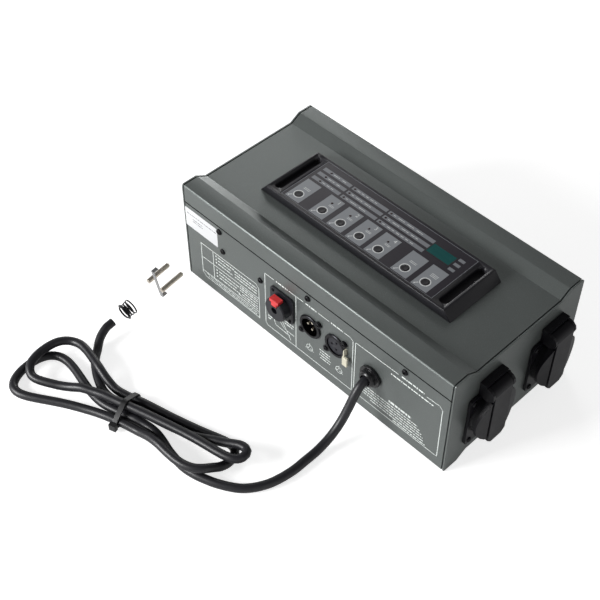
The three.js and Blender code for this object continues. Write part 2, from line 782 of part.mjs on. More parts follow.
function keyOverlay() {
  const from = rise(recessFloor) + overlaySeat;
  const plate = drawn('z', rectangle(overlayLength, overlayDepth), from, from + overlayThickness);
  return onPanel(cut(plate, ...panelThrough(from - overrun, from + overlayThickness + overrun)));
}

function key(x) {
  const foot = rise(panelCeiling) - seat - keyFootSheet;
  const top = rise(recessFloor) + overlaySeat + overlayThickness + keyProud;
  return onPanel(moved(spun('z', [[0, foot], [keyRadius + keyFoot, foot],
    [keyRadius + keyFoot, foot + keyFootSheet], [keyRadius, foot + keyFootSheet], [keyRadius, top],
    [0, top]], 14), x, keyY, 0));
}

function displayWindow() {
  const foot = rise(panelCeiling) - seat - keyFootSheet;
  const top = rise(recessFloor) + overlaySeat + overlayThickness;
  const lip = drawn('z', rectangle(displaySize[0] + displayLip * 2, displaySize[1] + displayLip * 2),
    foot, foot + keyFootSheet);
  const pane = drawn('z', rectangle(...displaySize), foot + half(keyFootSheet), top);
  return onPanel(moved(join(lip, pane), ...displayCentre, 0));
}

function controlBoard() {
  const root = rise(boardTop) - half(boardThickness);
  const lampTop = rise(recessFloor) + overlaySeat + overlayThickness;
  const plate = drawn('z', rectangle(...boardSize), rise(boardBottom), rise(boardTop));
  const switches = keyX.map((x) => moved(drawn('z', rectangle(switchSide, switchSide), root,
    rise(boardTop) + switchHeight), x, keyY, 0));
  const display = moved(drawn('z', rectangle(...displaySize), root, rise(boardTop) + moduleHeight),
    ...displayCentre, 0);
  const lamps = lampPlaces.map(([x, y]) => holeZ(lampRadius, x, y, root, lampTop, 8));
  return onPanel(join(plate, ...switches, display, ...lamps));
}

// Jack socket. Its own frame is on the front wall's face, z up
const atJack = (geometry) => moved(geometry, jackX, 0, jackZ);

function tabOutline(room) {
  const [barHalf, stemHalf] = [half(tabBar[0]) + room, half(tabStem[0]) + room];
  const low = tabBase - (room > 0 ? tabTravel + room : 0);
  const neck = tabBase + tabStem[1] - (room > 0 ? tabTravel + room : 0);
  const high = tabBase + tabStem[1] + tabBar[1] + (room > 0 ? overrun : 0);
  return [[-stemHalf, low], [stemHalf, low], [stemHalf, neck], [barHalf, neck], [barHalf, high],
    [-barHalf, high], [-barHalf, neck], [-stemHalf, neck]];
}

function jackBody() {
  const flange = drawn('y', roundedBox(...jackFlange, jackCorner, 3), -jackFlangeSheet, -seat);
  const nose = spun('y', [[0, -jackNoseReach], [jackNoseRadius - jackNoseChamfer, -jackNoseReach],
    [jackNoseRadius, -jackNoseReach + jackNoseChamfer], [jackNoseRadius, -seat], [0, -seat]], 24);
  const back = rod('y', jackBackRadius, -jackFlangeSheet, jackBackDepth, 16);
  const bore = spun('y', [[0, -jackNoseReach - overrun], [jackBoreRadius, -jackNoseReach - overrun],
    [jackBoreRadius, jackBoreDepth - jackNoseReach], [0, jackBoreDepth - jackNoseReach]], 16);
  const recess = drawn('y', tabOutline(seat), -jackNoseReach - overrun, -jackNoseReach + tabDepth + seat);
  return atJack(cut(join(flange, nose, back), bore, recess));
}

function jackTab() {
  return atJack(drawn('y', tabOutline(0), -jackNoseReach - tabProud, -jackNoseReach + tabDepth));
}

// Data connectors
function latchSlot() {
  const [left, right] = [latchStemOut - latchRoom, latchStemOut + latchStem[0] + seat * 2];
  const top = latchStemTop + seat;
  const bottom = latchStemTop - latchStem[1] - seat * 2;
  return [[left, bottom], [right, bottom], [right, top], [left, top]];
}

const earSides = [1, -1].map((side) => earOffset.map((offset) => side * offset));

function dmxShell(withLatch) {
  const ring = spun('y', [[0, -ringReach], [ringRadius - ringBevel, -ringReach],
    [ringRadius, -ringReach + ringBevel], [ringRadius, -seat], [0, -seat]], 24);
  const angle = Math.atan2(earOffset[1], earOffset[0]);
  const ears = earSides.map(([x, z]) => moved(rod('y', earRadius, -earSheet - seat, -seat, 12), x, 0, z));
  const web = drawn('y', rectangle(2 * Math.hypot(...earOffset), earRadius * 2), -earSheet - seat, -seat)
    .rotateY(-angle);
  const back = rod('y', dmxBackRadius, -ringReach + ringBevel, dmxBackDepth, 16);
  const cavity = rod('y', dmxCavityRadius, -ringReach - overrun, dmxCavityDepth - ringReach, 20);
  const slots = withLatch
    ? [drawn('y', latchSlot(), -ringReach - overrun, latchStemRear + seat * 3)]
    : contactPlaces.map(([x, z]) => holeY(contactRadius + seat, x, z, 0, dmxBackDepth + overrun, 8));
  return cut(join(ring, ...ears, web, back), cavity, ...slots);
}

const contactPlaces = contactTurnShares.map((share) => {
  const angle = Math.PI * 2 * share;
  return [contactCircle * Math.cos(angle), contactCircle * Math.sin(angle)];
});

function dmxPinInsert() {
  const floor = dmxCavityDepth - ringReach - seat;
  const disc = rod('y', dmxCavityRadius - seat, floor - pinInsertSheet, floor, 16);
  const reach = [contactTip, dmxBackDepth + contactTail];
  const pins = contactPlaces.map(([x, z]) => holeY(contactRadius, x, z, ...reach, 8));
  return join(disc, ...pins);
}

function dmxInsert() {
  const face = -ringReach + insertDrop;
  const body = rod('y', dmxCavityRadius - seat, face, dmxCavityDepth - ringReach - seat, 20);
  const reach = [-ringReach, face + insertHoleDepth];
  const holes = contactPlaces.map(([x, z]) => holeY(insertHoleRadius, x, z, ...reach, 8));
  return cut(body, ...holes);
}

function dmxLatch() {
  const [thick, tall] = latchStem;
  const [front, sheetHalf] = [-latchThumbFront, half(latchThumbSheet)];
  const stem = block(latchStemOut, latchStemOut + thick, front + sheetHalf, latchStemRear,
    latchStemTop - tall, latchStemTop);
  const thumb = block(latchStemOut, latchStemOut + latchThumb[0], front, front + latchThumbSheet,
    latchThumbTop - latchThumb[1], latchThumbTop + sheetHalf);
  return join(stem, thumb);
}

const atDmx = (index, geometry) => moved(geometry, dmxX[index], 0, dmxZ);

// Cord bushing with a mouth that opens outward
function bushing() {
  const bore = cordRadius + boreClearance;
  const mouth = [bore + bushingFlare, -bushingReach];
  const profile = [mouth, [bushingNose - bushingChamfer, -bushingReach],
    [bushingNose, -bushingReach + bushingChamfer], [bushingNose, -bushingFlangeSheet],
    [bushingFlange, -bushingFlangeSheet], [bushingFlange, -seat], [bushingBack, -seat],
    [bushingBack, bushingInside], [bore, bushingInside], [bore, -half(bushingReach)], mouth];
  return moved(spun('y', profile, 16), bushingX, 0, bushingZ);
}

// The hank's own frame lies on the floor at its tie, u along the loops and v across them
const hankAngle = THREE.MathUtils.degToRad(hankTurn);
function onFloor([u, v, z]) {
  return new THREE.Vector3(hankPlace[0] + u * Math.cos(hankAngle) - v * Math.sin(hankAngle),
    hankPlace[1] + u * Math.sin(hankAngle) + v * Math.cos(hankAngle), z);
}
const smooth = (t) => t * t * (3 - 2 * t);
const topStrand = strandRise * strandPitch / cordDiameter * topStrandShare;

// Each loop leaves the waist as one strand and comes back as the next, at heights in cord diameters
const loops = [
  { side: -1, reach: 107, bulge: 22.3, sway: 7.3, power: 1, levels: [[0, 0], [1, 0]] },
  { side: 1, reach: 105, bulge: -12.4, sway: -8.5, power: 1,
    levels: [[0, 0], [0.02, 0], [0.12, 1.08], [0.34, 1.1], [0.46, 0.1], [0.5, 0], [1, 0]] },
  { side: -1, reach: 100, bulge: 20.1, sway: 8.4, power: 1,
    levels: [[0, 0], [0.02, 0.05], [0.13, 1.12], [0.22, 1.1], [0.3, 0.95], [0.38, 1.1], [0.52, 1.1],
      [0.65, 0.55], [0.8, 0.5], [0.89, 1.16], [0.96, 1.12], [1, topStrand]] },
  { side: 1, reach: 117, bulge: -9.8, sway: -2, power: 4,
    levels: [[0, topStrand], [0.08, 1.1], [0.4, 1.35], [0.5, 1.4], [0.62, 1.3], [0.72, 0.95], [0.86, 0.1],
      [1, 0]] },
];

function levelAt(levels, t) {
  const next = levels.findIndex(([at]) => at >= t);
  if (next < 1) return levels[0][1];
  const [[t0, l0], [t1, l1]] = [levels[next - 1], levels[next]];
  return l0 + (l1 - l0) * smooth((t - t0) / (t1 - t0));
}

function loopPoint(loop, index, t) {
  const s = Math.sin(Math.PI * t);
  const w = Math.sin(Math.PI * 2 * t);
  const u = loop.side * (waistHalf + (loop.reach - waistHalf) * s);
  const v = strandWaist[index] + (strandWaist[index + 1] - strandWaist[index]) * smooth(t)
    + loop.sway * w * w + loopFullness * loop.bulge * w * s ** loop.power;
  const nearWaist = 1 - smooth(Math.min(1, Math.min(t, 1 - t) / waistShare));
  return onFloor([u, v, cordRest + waistLift * nearWaist + cordDiameter * levelAt(loop.levels, t)]);
}

function hankPoints() {
  const height = cordRest + waistLift;
  const turnsOfCord = loops.flatMap((loop, index) => Array.from({ length: loopSteps + 1 }, (_, i) => (
    loopPoint(loop, index, i / loopSteps))));
  return [onFloor([waistHalf, strandWaist[0], height]), ...turnsOfCord,
    onFloor([-waistHalf, strandWaist[strandWaist.length - 1], height])];
}

// The least gap between stretches of a curve that lie apart along it
function leastGap(curve, diameter) {
  const points = curve.getSpacedPoints(Math.round(curve.getLength() / diameter * 4));
  const apart = 9;
  let least = Infinity;
  for (let i = 0; i < points.length; i += 1) {
    for (let j = i + apart; j < points.length; j += 1) {
      least = Math.min(least, points[i].distanceTo(points[j]));
    }
  }
  return least - diameter;
}

function cordHank() {
  const curve = new THREE.CatmullRomCurve3(hankPoints());
  console.log(`hank: least gap to itself ${leastGap(curve, cordDiameter).toFixed(2)} mm, `
    + `cord ${curve.getLength().toFixed(0)} mm`);
  return strand(curve, cordRadius, loops.length * (loopSteps + 2), loopSides);
}

// Free cord: down from the bushing, with its height as a share of the bushing's, then in the case's frame
// and in the hank's
const supplyFall = [
  [0, 12, 1], [0, 2, 1], [0, -6, 0.998], [-0.1, -12.6, 0.957], [-0.2, -19, 0.814], [-0.3, -26.5, 0.566],
  [-0.5, -35, 0.328], [-0.7, -46, 0.142], [-0.9, -60, 0.031],
];
const supplyRoute = [[234.3, -76, 4.16], [234, -92, 4.16], [229, -114, 4.16], [218, -131, 4.16]];
const supplyToHank = [
  [108, -27, 4.16], [97, -28, 4.16], [86, -28, 4.16], [75, -26.5, 4.16], [66, -23.5, 4.16],
  [55, -18.5, 4.16], [45, -12.5, 4.16], [36, -8, 4.16], [28, -5.6, 4.16], [20, -4.6, 4.7],
  [13, -4.4, 5.82], [9.3, -4.4, 5.82],
];
const leadFromHank = [
  [-9.3, 4.4, 5.82], [-13, 4.4, 5.82], [-20, 5.4, 4.7], [-30, 9, 4.16], [-39, 15.5, 4.16], [-48, 24, 4.16],
  [-56, 34, 4.16], [-61, 45, 4.6],
];
const along = (points) => new THREE.CatmullRomCurve3(points.map(([x, y, z]) => new THREE.Vector3(x, y, z)));

function supplyCord() {
  const fall = bushingZ - cordRest;
  const curve = new THREE.CatmullRomCurve3([
    ...supplyFall.map(([x, y, share]) => new THREE.Vector3(bushingX + x, y, cordRest + fall * share)),
    ...supplyRoute.map(([x, y, z]) => new THREE.Vector3(x, y, z)),
    ...supplyToHank.map(onFloor)]);
  console.log(`supply cord ${curve.getLength().toFixed(0)} mm`);
  return strand(curve, cordRadius, 30, cordSides);
}

// The plug's own frame is on its face, x forward
const plugFrame = new THREE.Matrix4().makeTranslation(...plugPlace)
  .multiply(new THREE.Matrix4().makeRotationZ(THREE.MathUtils.degToRad(plugTurn)))
  .multiply(new THREE.Matrix4().makeRotationY(-THREE.MathUtils.degToRad(plugTilt)))
  .multiply(new THREE.Matrix4().makeRotationX(THREE.MathUtils.degToRad(plugRoll)));
const onPlug = (geometry) => geometry.clone().applyMatrix4(plugFrame);
const plugPoint = (x) => new THREE.Vector3(x, 0, 0).applyMatrix4(plugFrame);

function plugLead() {
  const curve = new THREE.CatmullRomCurve3([
    ...leadFromHank.map(onFloor),
    new THREE.Vector3(...leadRise),
    plugPoint(-plugLength - cordDiameter),
    plugPoint(-plugLength - half(cordDiameter)),
    plugPoint(-plugLength - cordGap),
  ]);
  console.log(`plug lead ${curve.getLength().toFixed(0)} mm`);
  return strand(curve, cordRadius, 9, cordSides);
}

// The relief behind the neck, from its collar on: one groove and one fin after another
function plugFins() {
  const pitch = plugRelief / plugFinCount;
  const start = -plugNeckShape[plugNeckShape.length - 1][1] - plugRelief;
  const widest = plugNeckShape[plugNeckShape.length - 1][0];
  return Array.from({ length: plugFinCount }, (_, i) => {
    const x = start + pitch * i;
    const radius = plugCollarRadius + (widest - plugCollarRadius) * (i + 1) / plugFinCount;
    return [[radius - plugFinDepth, x], [radius - plugFinDepth, x + half(pitch)], [radius, x + half(pitch)],
      [radius, x + pitch]];
  }).flat();
}

function plugBody() {
  const fins = plugFins();
  const neck = plugNeckShape.map(([radius, back]) => [radius, -back]).reverse().slice(1);
  const body = spun('x', [[0, -plugLength], [plugTail, -plugLength], [plugCollarRadius, fins[0][1]],
    ...fins, ...neck, [plugRadius, -plugShoulder], [plugRadius, -plugRim], [plugRadius - plugRim, 0],
    [0, 0]], 18);
  const [notchWidth, notchDepth, notchLength] = plugNotch;
  const notches = [-1, 1].map((side) => sideBlock('y', side, plugRadius - notchDepth,
    [-notchLength, overrun], [-half(notchWidth), half(notchWidth)]));
  const [scoopBack, scoopDepth, scoopRadius] = plugScoop;
  const scoops = [-1, 1].map((side) => moved(rod('y', scoopRadius, -plugRadius, plugRadius, 28),
    -scoopBack, 0, side * (plugRadius - scoopDepth + scoopRadius)));
  const [stripWidth, stripSheet, stripLength] = earthStrip;
  const across = half(stripWidth) + seat;
  const strips = [-1, 1].map((side) => sideBlock('z', side, plugRadius - earthStripSink - stripSheet - seat,
    [-stripLength, overrun], [-across, across]));
  const bridge = block(-stripLength, -stripLength + stripSheet + seat * 2, -across, across,
    -plugRadius, plugRadius);
  const pin = rod('x', plugPinRadius + seat, -plugPinRoot - seat, overrun, 12);
  const pins = [-1, 1].map((side) => moved(pin, 0, side * half(pinPitch), 0));
  return onPlug(cut(body, ...notches, ...scoops, ...strips, bridge, ...pins));
}

// A block that cuts the plug from outside down to a depth, on one side of an axis
function sideBlock(axis, side, depth, [x0, x1], [a, b]) {
  const [near, far] = ordered(side * depth, side * (plugRadius + overrun));
  return axis === 'y' ? block(x0, x1, near, far, a, b) : block(x0, x1, a, b, near, far);
}

function plugPin(side) {
  return onPlug(moved(spun('x', [[0, -plugPinRoot], [plugPinRadius, -plugPinRoot],
    [plugPinRadius, plugPinReach - half(plugPinRadius)], [half(plugPinRadius), plugPinReach],
    [0, plugPinReach]], 12), 0, side * half(pinPitch), 0));
}

// The earth strips lie in the plug's upper and lower side and meet in a bridge behind its face
function plugStrip() {
  const [wide, thick, long] = earthStrip;
  const [back, top] = [seat - long, plugRadius - earthStripSink];
  return onPlug(drawn('y', [[back, -top], [-seat, -top], [-seat, thick - top], [back + thick, thick - top],
    [back + thick, top - thick], [-seat, top - thick], [-seat, top], [back, top]],
  -half(wide), half(wide)));
}

function cordTie() {
  const bottom = cordRest + waistLift;
  const crestRise = topStrand * cordDiameter;
  const edge = strandWaist[2];
  const lean = Math.atan2(edge, crestRise);
  const band = (radius) => [
    ...arc(radius, -Math.PI / 2, lean, 5).map(([v, z]) => [v + edge, z + bottom]),
    ...arc(radius, lean, Math.PI - lean, 5).map(([v, z]) => [v, z + bottom + crestRise]),
    ...arc(radius, Math.PI - lean, Math.PI * 3 / 2, 5).map(([v, z]) => [v - edge, z + bottom]),
  ];
  const inner = cordRadius + seat + waistFacet;
  const strap = drawn('x', band(inner + tieSheet), -half(tieWidth), half(tieWidth), [band(inner)]);
  const side = -edge - inner - half(tieSheet);
  const head = block(-half(tieHead[0]), half(tieHead[0]), side - tieHead[1], side,
    bottom - half(tieHead[2]), bottom + half(tieHead[2]));
  const frame = new THREE.Matrix4().makeTranslation(...hankPlace, 0)
    .multiply(new THREE.Matrix4().makeRotationZ(hankAngle));
  return join(strap, head).applyMatrix4(frame);
}

// Rear panel
function fuseHolder() {
  const bore = fuseCapRadius - fuseWall + seat;
  const [inside, floor] = [caseDepth - fuseBodyDepth, caseDepth - fuseStem - seat];
  const face = caseDepth + fuseNutSheet;
  const nut = tube('y', fuseNutRadius, bore, caseDepth + seat, face, 12);
  const body = spun('y', [[0, inside], [fuseRadius, inside], [fuseRadius, face], [bore, face],
    [bore, floor], [0, floor]], 12);
  return moved(join(nut, body), fuseX, 0, fuseHeight);
}

function fuseCap() {
  const seatY = caseDepth + fuseNutSheet + seat;
  const inner = fuseCapRadius - fuseWall;
  return moved(spun('y', [[0, caseDepth - fuseStem], [inner, caseDepth - fuseStem], [inner, seatY],
    [fuseCapRadius, seatY], [fuseCapRadius, seatY + fuseCapReach - overrun],
    [fuseCapRadius - overrun, seatY + fuseCapReach], [0, seatY + fuseCapReach]], 12), fuseX, 0, fuseHeight);
}

// Inside the case
function powerBoardWithParts() {
  const plate = block(powerBoardEnd, powerBoardEnd + powerBoardLength, powerBoardFront,
    powerBoardFront + powerBoardDepth, boardLow, boardHigh);
  return join(plate, ...triacs(), ...chokes());
}

function heatSink() {
  const near = sheet + seat;
  const back = near + coolerPlate;
  const reach = [coolerLeft, coolerLeft + coolerWidth];
  const plate = block(...reach, near, back, coolerBottom, coolerTop);
  const fins = Array.from({ length: coolerFinCount }, (_, i) => {
    const z = coolerFinBase + (coolerTop - coolerFinBase - coolerFinSheet) * i / (coolerFinCount - 1);
    return block(...reach, half(near + back), back + coolerFinReach, z, z + coolerFinSheet);
  });
  return join(plate, ...fins);
}

function triacs() {
  const near = sheet + seat * 2 + coolerPlate;
  const [wide, thick, tall] = triacSize;
  const top = coolerFinBase - seat * 2;
  return Array.from({ length: triacCount }, (_, i) => {
    const x = coolerLeft + coolerWidth * (i + 1 / 2) / triacCount;
    const body = block(x - half(wide), x + half(wide), near, near + thick, top - tall, top);
    const lead = block(x - half(triacLead[0]), x + half(triacLead[0]), near + half(thick),
      near + half(thick) + triacLead[1], boardHigh - half(boardThickness), top - half(tall));
    return join(body, lead);
  });
}

function chokes() {
  const base = boardHigh - half(boardThickness);
  const top = boardHigh + chokeHeight;
  return Array.from({ length: chokeCount }, (_, i) => moved(
    tube('z', chokeRadius, chokeBore, base, top, 12),
    (chokeFirstShare + i * chokePitchShare) * caseLength, chokeY, 0));
}

function boxOnBoard(size, [x, y]) {
  return moved(drawn('z', rectangle(size[0], size[1]), onBoard, onBoard + size[2]), x, y, 0);
}

function transformer() {
  const core = boxOnBoard(transformerSize, transformerAt);
  const lift = half(transformerSize[2] - bobbinSize[2]);
  const bobbin = moved(boxOnBoard(bobbinSize, transformerAt), 0, 0, lift);
  return join(core, bobbin);
}

function terminalBlock() {
  const body = boxOnBoard(terminalSize, terminalAt);
  const pitch = terminalSize[0] / terminalWays;
  const wells = Array.from({ length: terminalWays }, (_, i) => holeZ(terminalWell,
    terminalAt[0] + pitch * (i + 1 / 2) - half(terminalSize[0]), terminalAt[1],
    onBoard + half(terminalSize[2]), onBoard + terminalSize[2] + overrun, 8));
  return cut(body, ...wells);
}

piece('top_cover', topCover(), 'paint');
piece('base_tray', baseTray(), 'paint');
piece('left_end_panel', endPanel(), 'paint');
piece('right_end_panel', mirrored(endPanel()), 'paint');
seamScrewX.forEach((x, i) => piece(`seam_screw_${i + 1}`, seamScrew(x), 'screwBlack'));
piece('control_housing', controlHousing(), 'black');
piece('key_overlay', keyOverlay(), 'label');
keyX.forEach((x, i) => piece(`button_${i + 1}`, key(x), 'softBlack'));
piece('display_window', displayWindow(), 'teal');
piece('control_board', controlBoard(), 'board');
outletMatrices.forEach((matrix, i) => {
  piece(`outlet_${outletNames[i]}`, outletBody().applyMatrix4(matrix), 'softBlack');
  piece(`lid_${outletNames[i]}`, lid().applyMatrix4(matrix), 'softBlack');
  piece(`hinge_pin_${outletNames[i]}`, hingePin().applyMatrix4(matrix), 'steel');
  piece(`lid_spring_${outletNames[i]}`, lidSpring().applyMatrix4(matrix), 'steel');
  piece(`earth_clip_${outletNames[i]}`, earthClip().applyMatrix4(matrix), 'brass');
});
piece('jack_body', jackBody(), 'black');
piece('jack_release_tab', jackTab(), 'red');
piece('dmx_in_shell', atDmx(0, dmxShell(false)), 'black');
piece('dmx_in_insert', atDmx(0, dmxPinInsert()), 'nickel');
piece('dmx_out_shell', atDmx(1, dmxShell(true)), 'black');
piece('dmx_out_insert', atDmx(1, dmxInsert()), 'softBlack');
piece('dmx_out_latch', atDmx(1, dmxLatch()), 'cream');
piece('cord_bushing', bushing(), 'black');
piece('supply_cord', supplyCord(), 'black');
piece('cord_hank', cordHank(), 'black');
piece('plug_lead', plugLead(), 'black');
piece('cord_tie', cordTie(), 'black');
piece('plug_body', plugBody(), 'black');
piece('plug_pin_left', plugPin(1), 'nickel');
piece('plug_pin_right', plugPin(-1), 'nickel');
piece('plug_earth_strip', plugStrip(), 'steel');
piece('fuse_holder', fuseHolder(), 'black');
piece('fuse_cap', fuseCap(), 'softBlack');
piece('power_board', powerBoardWithParts(), 'board');
piece('heatsink', heatSink(), 'aluminium');
piece('transformer', transformer(), 'copper');
piece('terminal_block', terminalBlock(), 'softBlack');

export default pack;
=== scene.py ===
import json
import math
import bmesh
import bpy
from mathutils import Matrix, Vector
from mathutils.geometry import interpolate_bezier


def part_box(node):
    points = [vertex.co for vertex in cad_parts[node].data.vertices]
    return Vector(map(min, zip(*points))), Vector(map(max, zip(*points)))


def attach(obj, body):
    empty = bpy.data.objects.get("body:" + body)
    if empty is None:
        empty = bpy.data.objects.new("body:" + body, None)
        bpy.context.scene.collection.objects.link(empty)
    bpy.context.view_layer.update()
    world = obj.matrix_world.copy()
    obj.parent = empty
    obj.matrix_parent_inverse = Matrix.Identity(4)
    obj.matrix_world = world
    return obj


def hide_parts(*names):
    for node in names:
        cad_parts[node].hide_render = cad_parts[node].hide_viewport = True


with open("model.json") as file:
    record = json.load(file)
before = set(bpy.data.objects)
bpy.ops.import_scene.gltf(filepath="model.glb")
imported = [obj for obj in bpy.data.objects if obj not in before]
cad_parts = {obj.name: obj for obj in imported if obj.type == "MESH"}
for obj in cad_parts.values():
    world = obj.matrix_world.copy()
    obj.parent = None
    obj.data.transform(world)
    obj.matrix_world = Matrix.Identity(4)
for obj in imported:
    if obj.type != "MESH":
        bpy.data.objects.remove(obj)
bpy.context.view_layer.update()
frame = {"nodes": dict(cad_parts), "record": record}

scene = bpy.context.scene
mm = 0.001
corner = Vector(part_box("left_end_panel")[0])    # the case's front, bottom, left corner


# A place in the case's own millimetres: x to the right, y to the rear, z up
def at(x, y, z):
    return corner + Vector((x, y, z)) * mm


# What a flat or round form's own x, y and z become on each side of the case
def basis(right, up, out):
    return Matrix((right, up, out)).transposed().to_4x4()


facing = {
    "front": basis((1, 0, 0), (0, 0, 1), (0, -1, 0)),
    "rear": basis((-1, 0, 0), (0, 0, 1), (0, 1, 0)),
    "right": basis((0, 1, 0), (0, 0, 1), (1, 0, 0)),
    "left": basis((0, -1, 0), (0, 0, 1), (-1, 0, 0)),
    "top": basis((1, 0, 0), (0, 1, 0), (0, 0, 1)),
    "bottom": basis((1, 0, 0), (0, -1, 0), (0, 0, -1)),
}


def placed(side, x, y, z):
    return Matrix.Translation(at(x, y, z)) @ facing[side] @ Matrix.Scale(mm, 4)


def linked(name, data):
    made = bpy.data.objects.new(name, data)
    scene.collection.objects.link(made)
    return made


print("camera")
view = {"place": (630.5, -465.1, 813.7), "aim": (138.7, 15.3, 56.95), "lens": 70.36,
        "shift": (-0.00517, 0.0004), "nearest": 0.05}
camera = linked("camera", bpy.data.cameras.new("camera"))
camera.location = at(*view["place"])
camera.rotation_mode = "QUATERNION"
camera.rotation_quaternion = (at(*view["aim"]) - camera.location).to_track_quat("-Z", "Y")
camera.data.lens = view["lens"]
camera.data.shift_x, camera.data.shift_y = view["shift"]
camera.data.clip_start = view["nearest"]
scene.camera = camera
scene.view_settings.view_transform = "Standard"


def shaded(colour, factor):
    return tuple(min(1, part * factor) for part in colour)


# One end of a shader link, so that maths on it reads as plain expressions
class Socket:
    def __init__(self, tree, end):
        self.tree = tree
        self.end = end

    def node(self, kind, settings, inputs, output=0):
        made = self.tree.nodes.new(f"ShaderNode{kind}")
        for name, value in settings.items():
            setattr(made, name, value)
        for name, value in inputs.items():
            if isinstance(value, Socket):
                self.tree.links.new(value.end, made.inputs[name])
            else:
                made.inputs[name].default_value = value
        return Socket(self.tree, made.outputs[output] if made.outputs else None)

    def maths(self, operation, other):
        return self.node("Math", {"operation": operation}, {0: self, 1: other})

    def __add__(self, other):
        return self.maths("ADD", other)

    def __mul__(self, other):
        return self.maths("MULTIPLY", other)

    def __gt__(self, other):
        return self.maths("GREATER_THAN", other)

    # A pattern of spots of about this size in millimetres
    def noise(self, size, detail=3, roughness=0.55):
        return self.node("TexNoise", {}, {
            "Vector": self, "Scale": 1 / (size * mm), "Detail": detail, "Roughness": roughness})

    def stretched(self, x, y, z):
        return self.node("Mapping", {}, {"Vector": self, "Scale": (x, y, z)})

    def between(self, low, high):
        return self.node("MapRange", {}, {"Value": self, "To Min": low, "To Max": high})

    def around(self, level, below, above):
        return self.between(level - below, level + above)

    # For colours, the mix node takes its inputs 6 and 7 and gives its output 2
    def mixed(self, first, second):
        return self.node("Mix", {"data_type": "RGBA"}, {0: self, 6: first, 7: second}, 2)

    def colours(self, first, second):
        return self.mixed((*first, 1), (*second, 1))

    def tints(self, colour, dark, pale):
        return self.colours(shaded(colour, dark), shaded(colour, pale))

    def over(self, under, colour):
        return self.mixed(under, (*colour, 1))

    def bump(self, depth):
        return self.node("Bump", {}, {"Height": self, "Distance": depth * mm})


def finish(name, fixed, varied):
    material = bpy.data.materials.new(name)
    material.use_nodes = True
    tree = material.node_tree
    shader = tree.nodes["Principled BSDF"]
    coordinates = tree.nodes.new("ShaderNodeTexCoord")
    for socket, value in fixed.items():
        shader.inputs[socket].default_value = value
    for socket, value in varied(Socket(tree, coordinates.outputs["Object"])).items():
        tree.links.new(value.end, shader.inputs[socket])
    return material


print("finishes")


# Fine-textured metallic paint: a grain that catches the light, and flakes a little paler than the coat
def housingPaint():
    look = {"colour": (0.155, 0.171, 0.166), "grain": 0.55, "flake": 0.34, "flakesFrom": 0.66,
            "flakeTint": 1.5, "cloud": 60, "depth": 0.035}

    def varied(place):
        grain = place.noise(look["grain"], 4, 0.6)
        flake = place.noise(look["flake"], 2, 0.5)
        cloud = place.noise(look["cloud"])
        coat = (grain * 0.7 + cloud * 0.3).tints(look["colour"], dark=0.84, pale=1.16)
        return {
            "Base Color": (flake > look["flakesFrom"]).over(coat, shaded(look["colour"], look["flakeTint"])),
            "Roughness": (grain * 0.5 + cloud * 0.5).between(0.36, 0.52),
            "Normal": grain.bump(look["depth"]),
        }
    return finish("housing_paint", {"Metallic": 0.55, "Coat Weight": 0.12, "Coat Roughness": 0.3}, varied)


# Moulded plastic with the fine spark texture of a tool, rubbed smoother here and there
def moulded(name, colour, roughness, grain, depth, coat=0.0, ior=1.48):
    look = {"rubbed": 30}

    def varied(place):
        spark = place.noise(grain, 3, 0.6)
        rubbed = place.noise(grain * look["rubbed"])
        return {
            "Base Color": (spark * 0.5 + rubbed * 0.5).tints(colour, dark=0.8, pale=1.25),
            "Roughness": (spark * 0.4 + rubbed * 0.6).around(roughness, below=0.1, above=0.12),
            "Normal": spark.bump(depth),
        }
    return finish(name, {"Coat Weight": coat, "Coat Roughness": 0.2, "IOR": ior}, varied)


# Bare or plated metal, with fine lines along one axis where it was rolled or brushed
def metal(name, colour, roughness, lines=(1, 1, 1), grain=0.4, depth=0.012):
    look = {"stain": 9}

    def varied(place):
        scratch = place.stretched(*lines).noise(grain, 4, 0.6)
        stain = place.noise(look["stain"])
        return {
            "Base Color": (scratch * 0.5 + stain * 0.5).tints(colour, dark=0.82, pale=1.12),
            "Roughness": (scratch * 0.6 + stain * 0.4).around(roughness, below=0.09, above=0.14),
            "Normal": scratch.bump(depth),
        }
    return finish(name, {"Metallic": 1.0}, varied)


# Screen ink, a little uneven in cover
def ink(name, colour, roughness=0.5):
    look = {"grain": 0.5, "depth": 0.006}

    def varied(place):
        cover = place.noise(look["grain"], 3, 0.6)
        return {
            "Base Color": cover.tints(colour, dark=0.86, pale=1.08),
            "Roughness": cover.around(roughness, below=0.08, above=0.1),
            "Normal": cover.bump(look["depth"]),
        }
    return finish(name, {}, varied)


# Smooth cord jacket, with faint waves from the drawing die and a little dust
def cordJacket():
    look = {"dark": (0.006, 0.006, 0.008), "dusty": (0.016, 0.016, 0.021), "wave": 3.2, "dust": 0.9,
            "depth": 0.05}

    def varied(place):
        wave = place.noise(look["wave"], 3, 0.5)
        dust = place.noise(look["dust"], 4, 0.65)
        return {
            "Base Color": (dust * 0.6 + wave * 0.4).colours(look["dark"], look["dusty"]),
            "Roughness": (wave * 0.5 + dust * 0.5).between(0.36, 0.54),
            "Normal": wave.bump(look["depth"]),
        }
    return finish("cord_jacket", {"Coat Weight": 0.1, "Coat Roughness": 0.25}, varied)


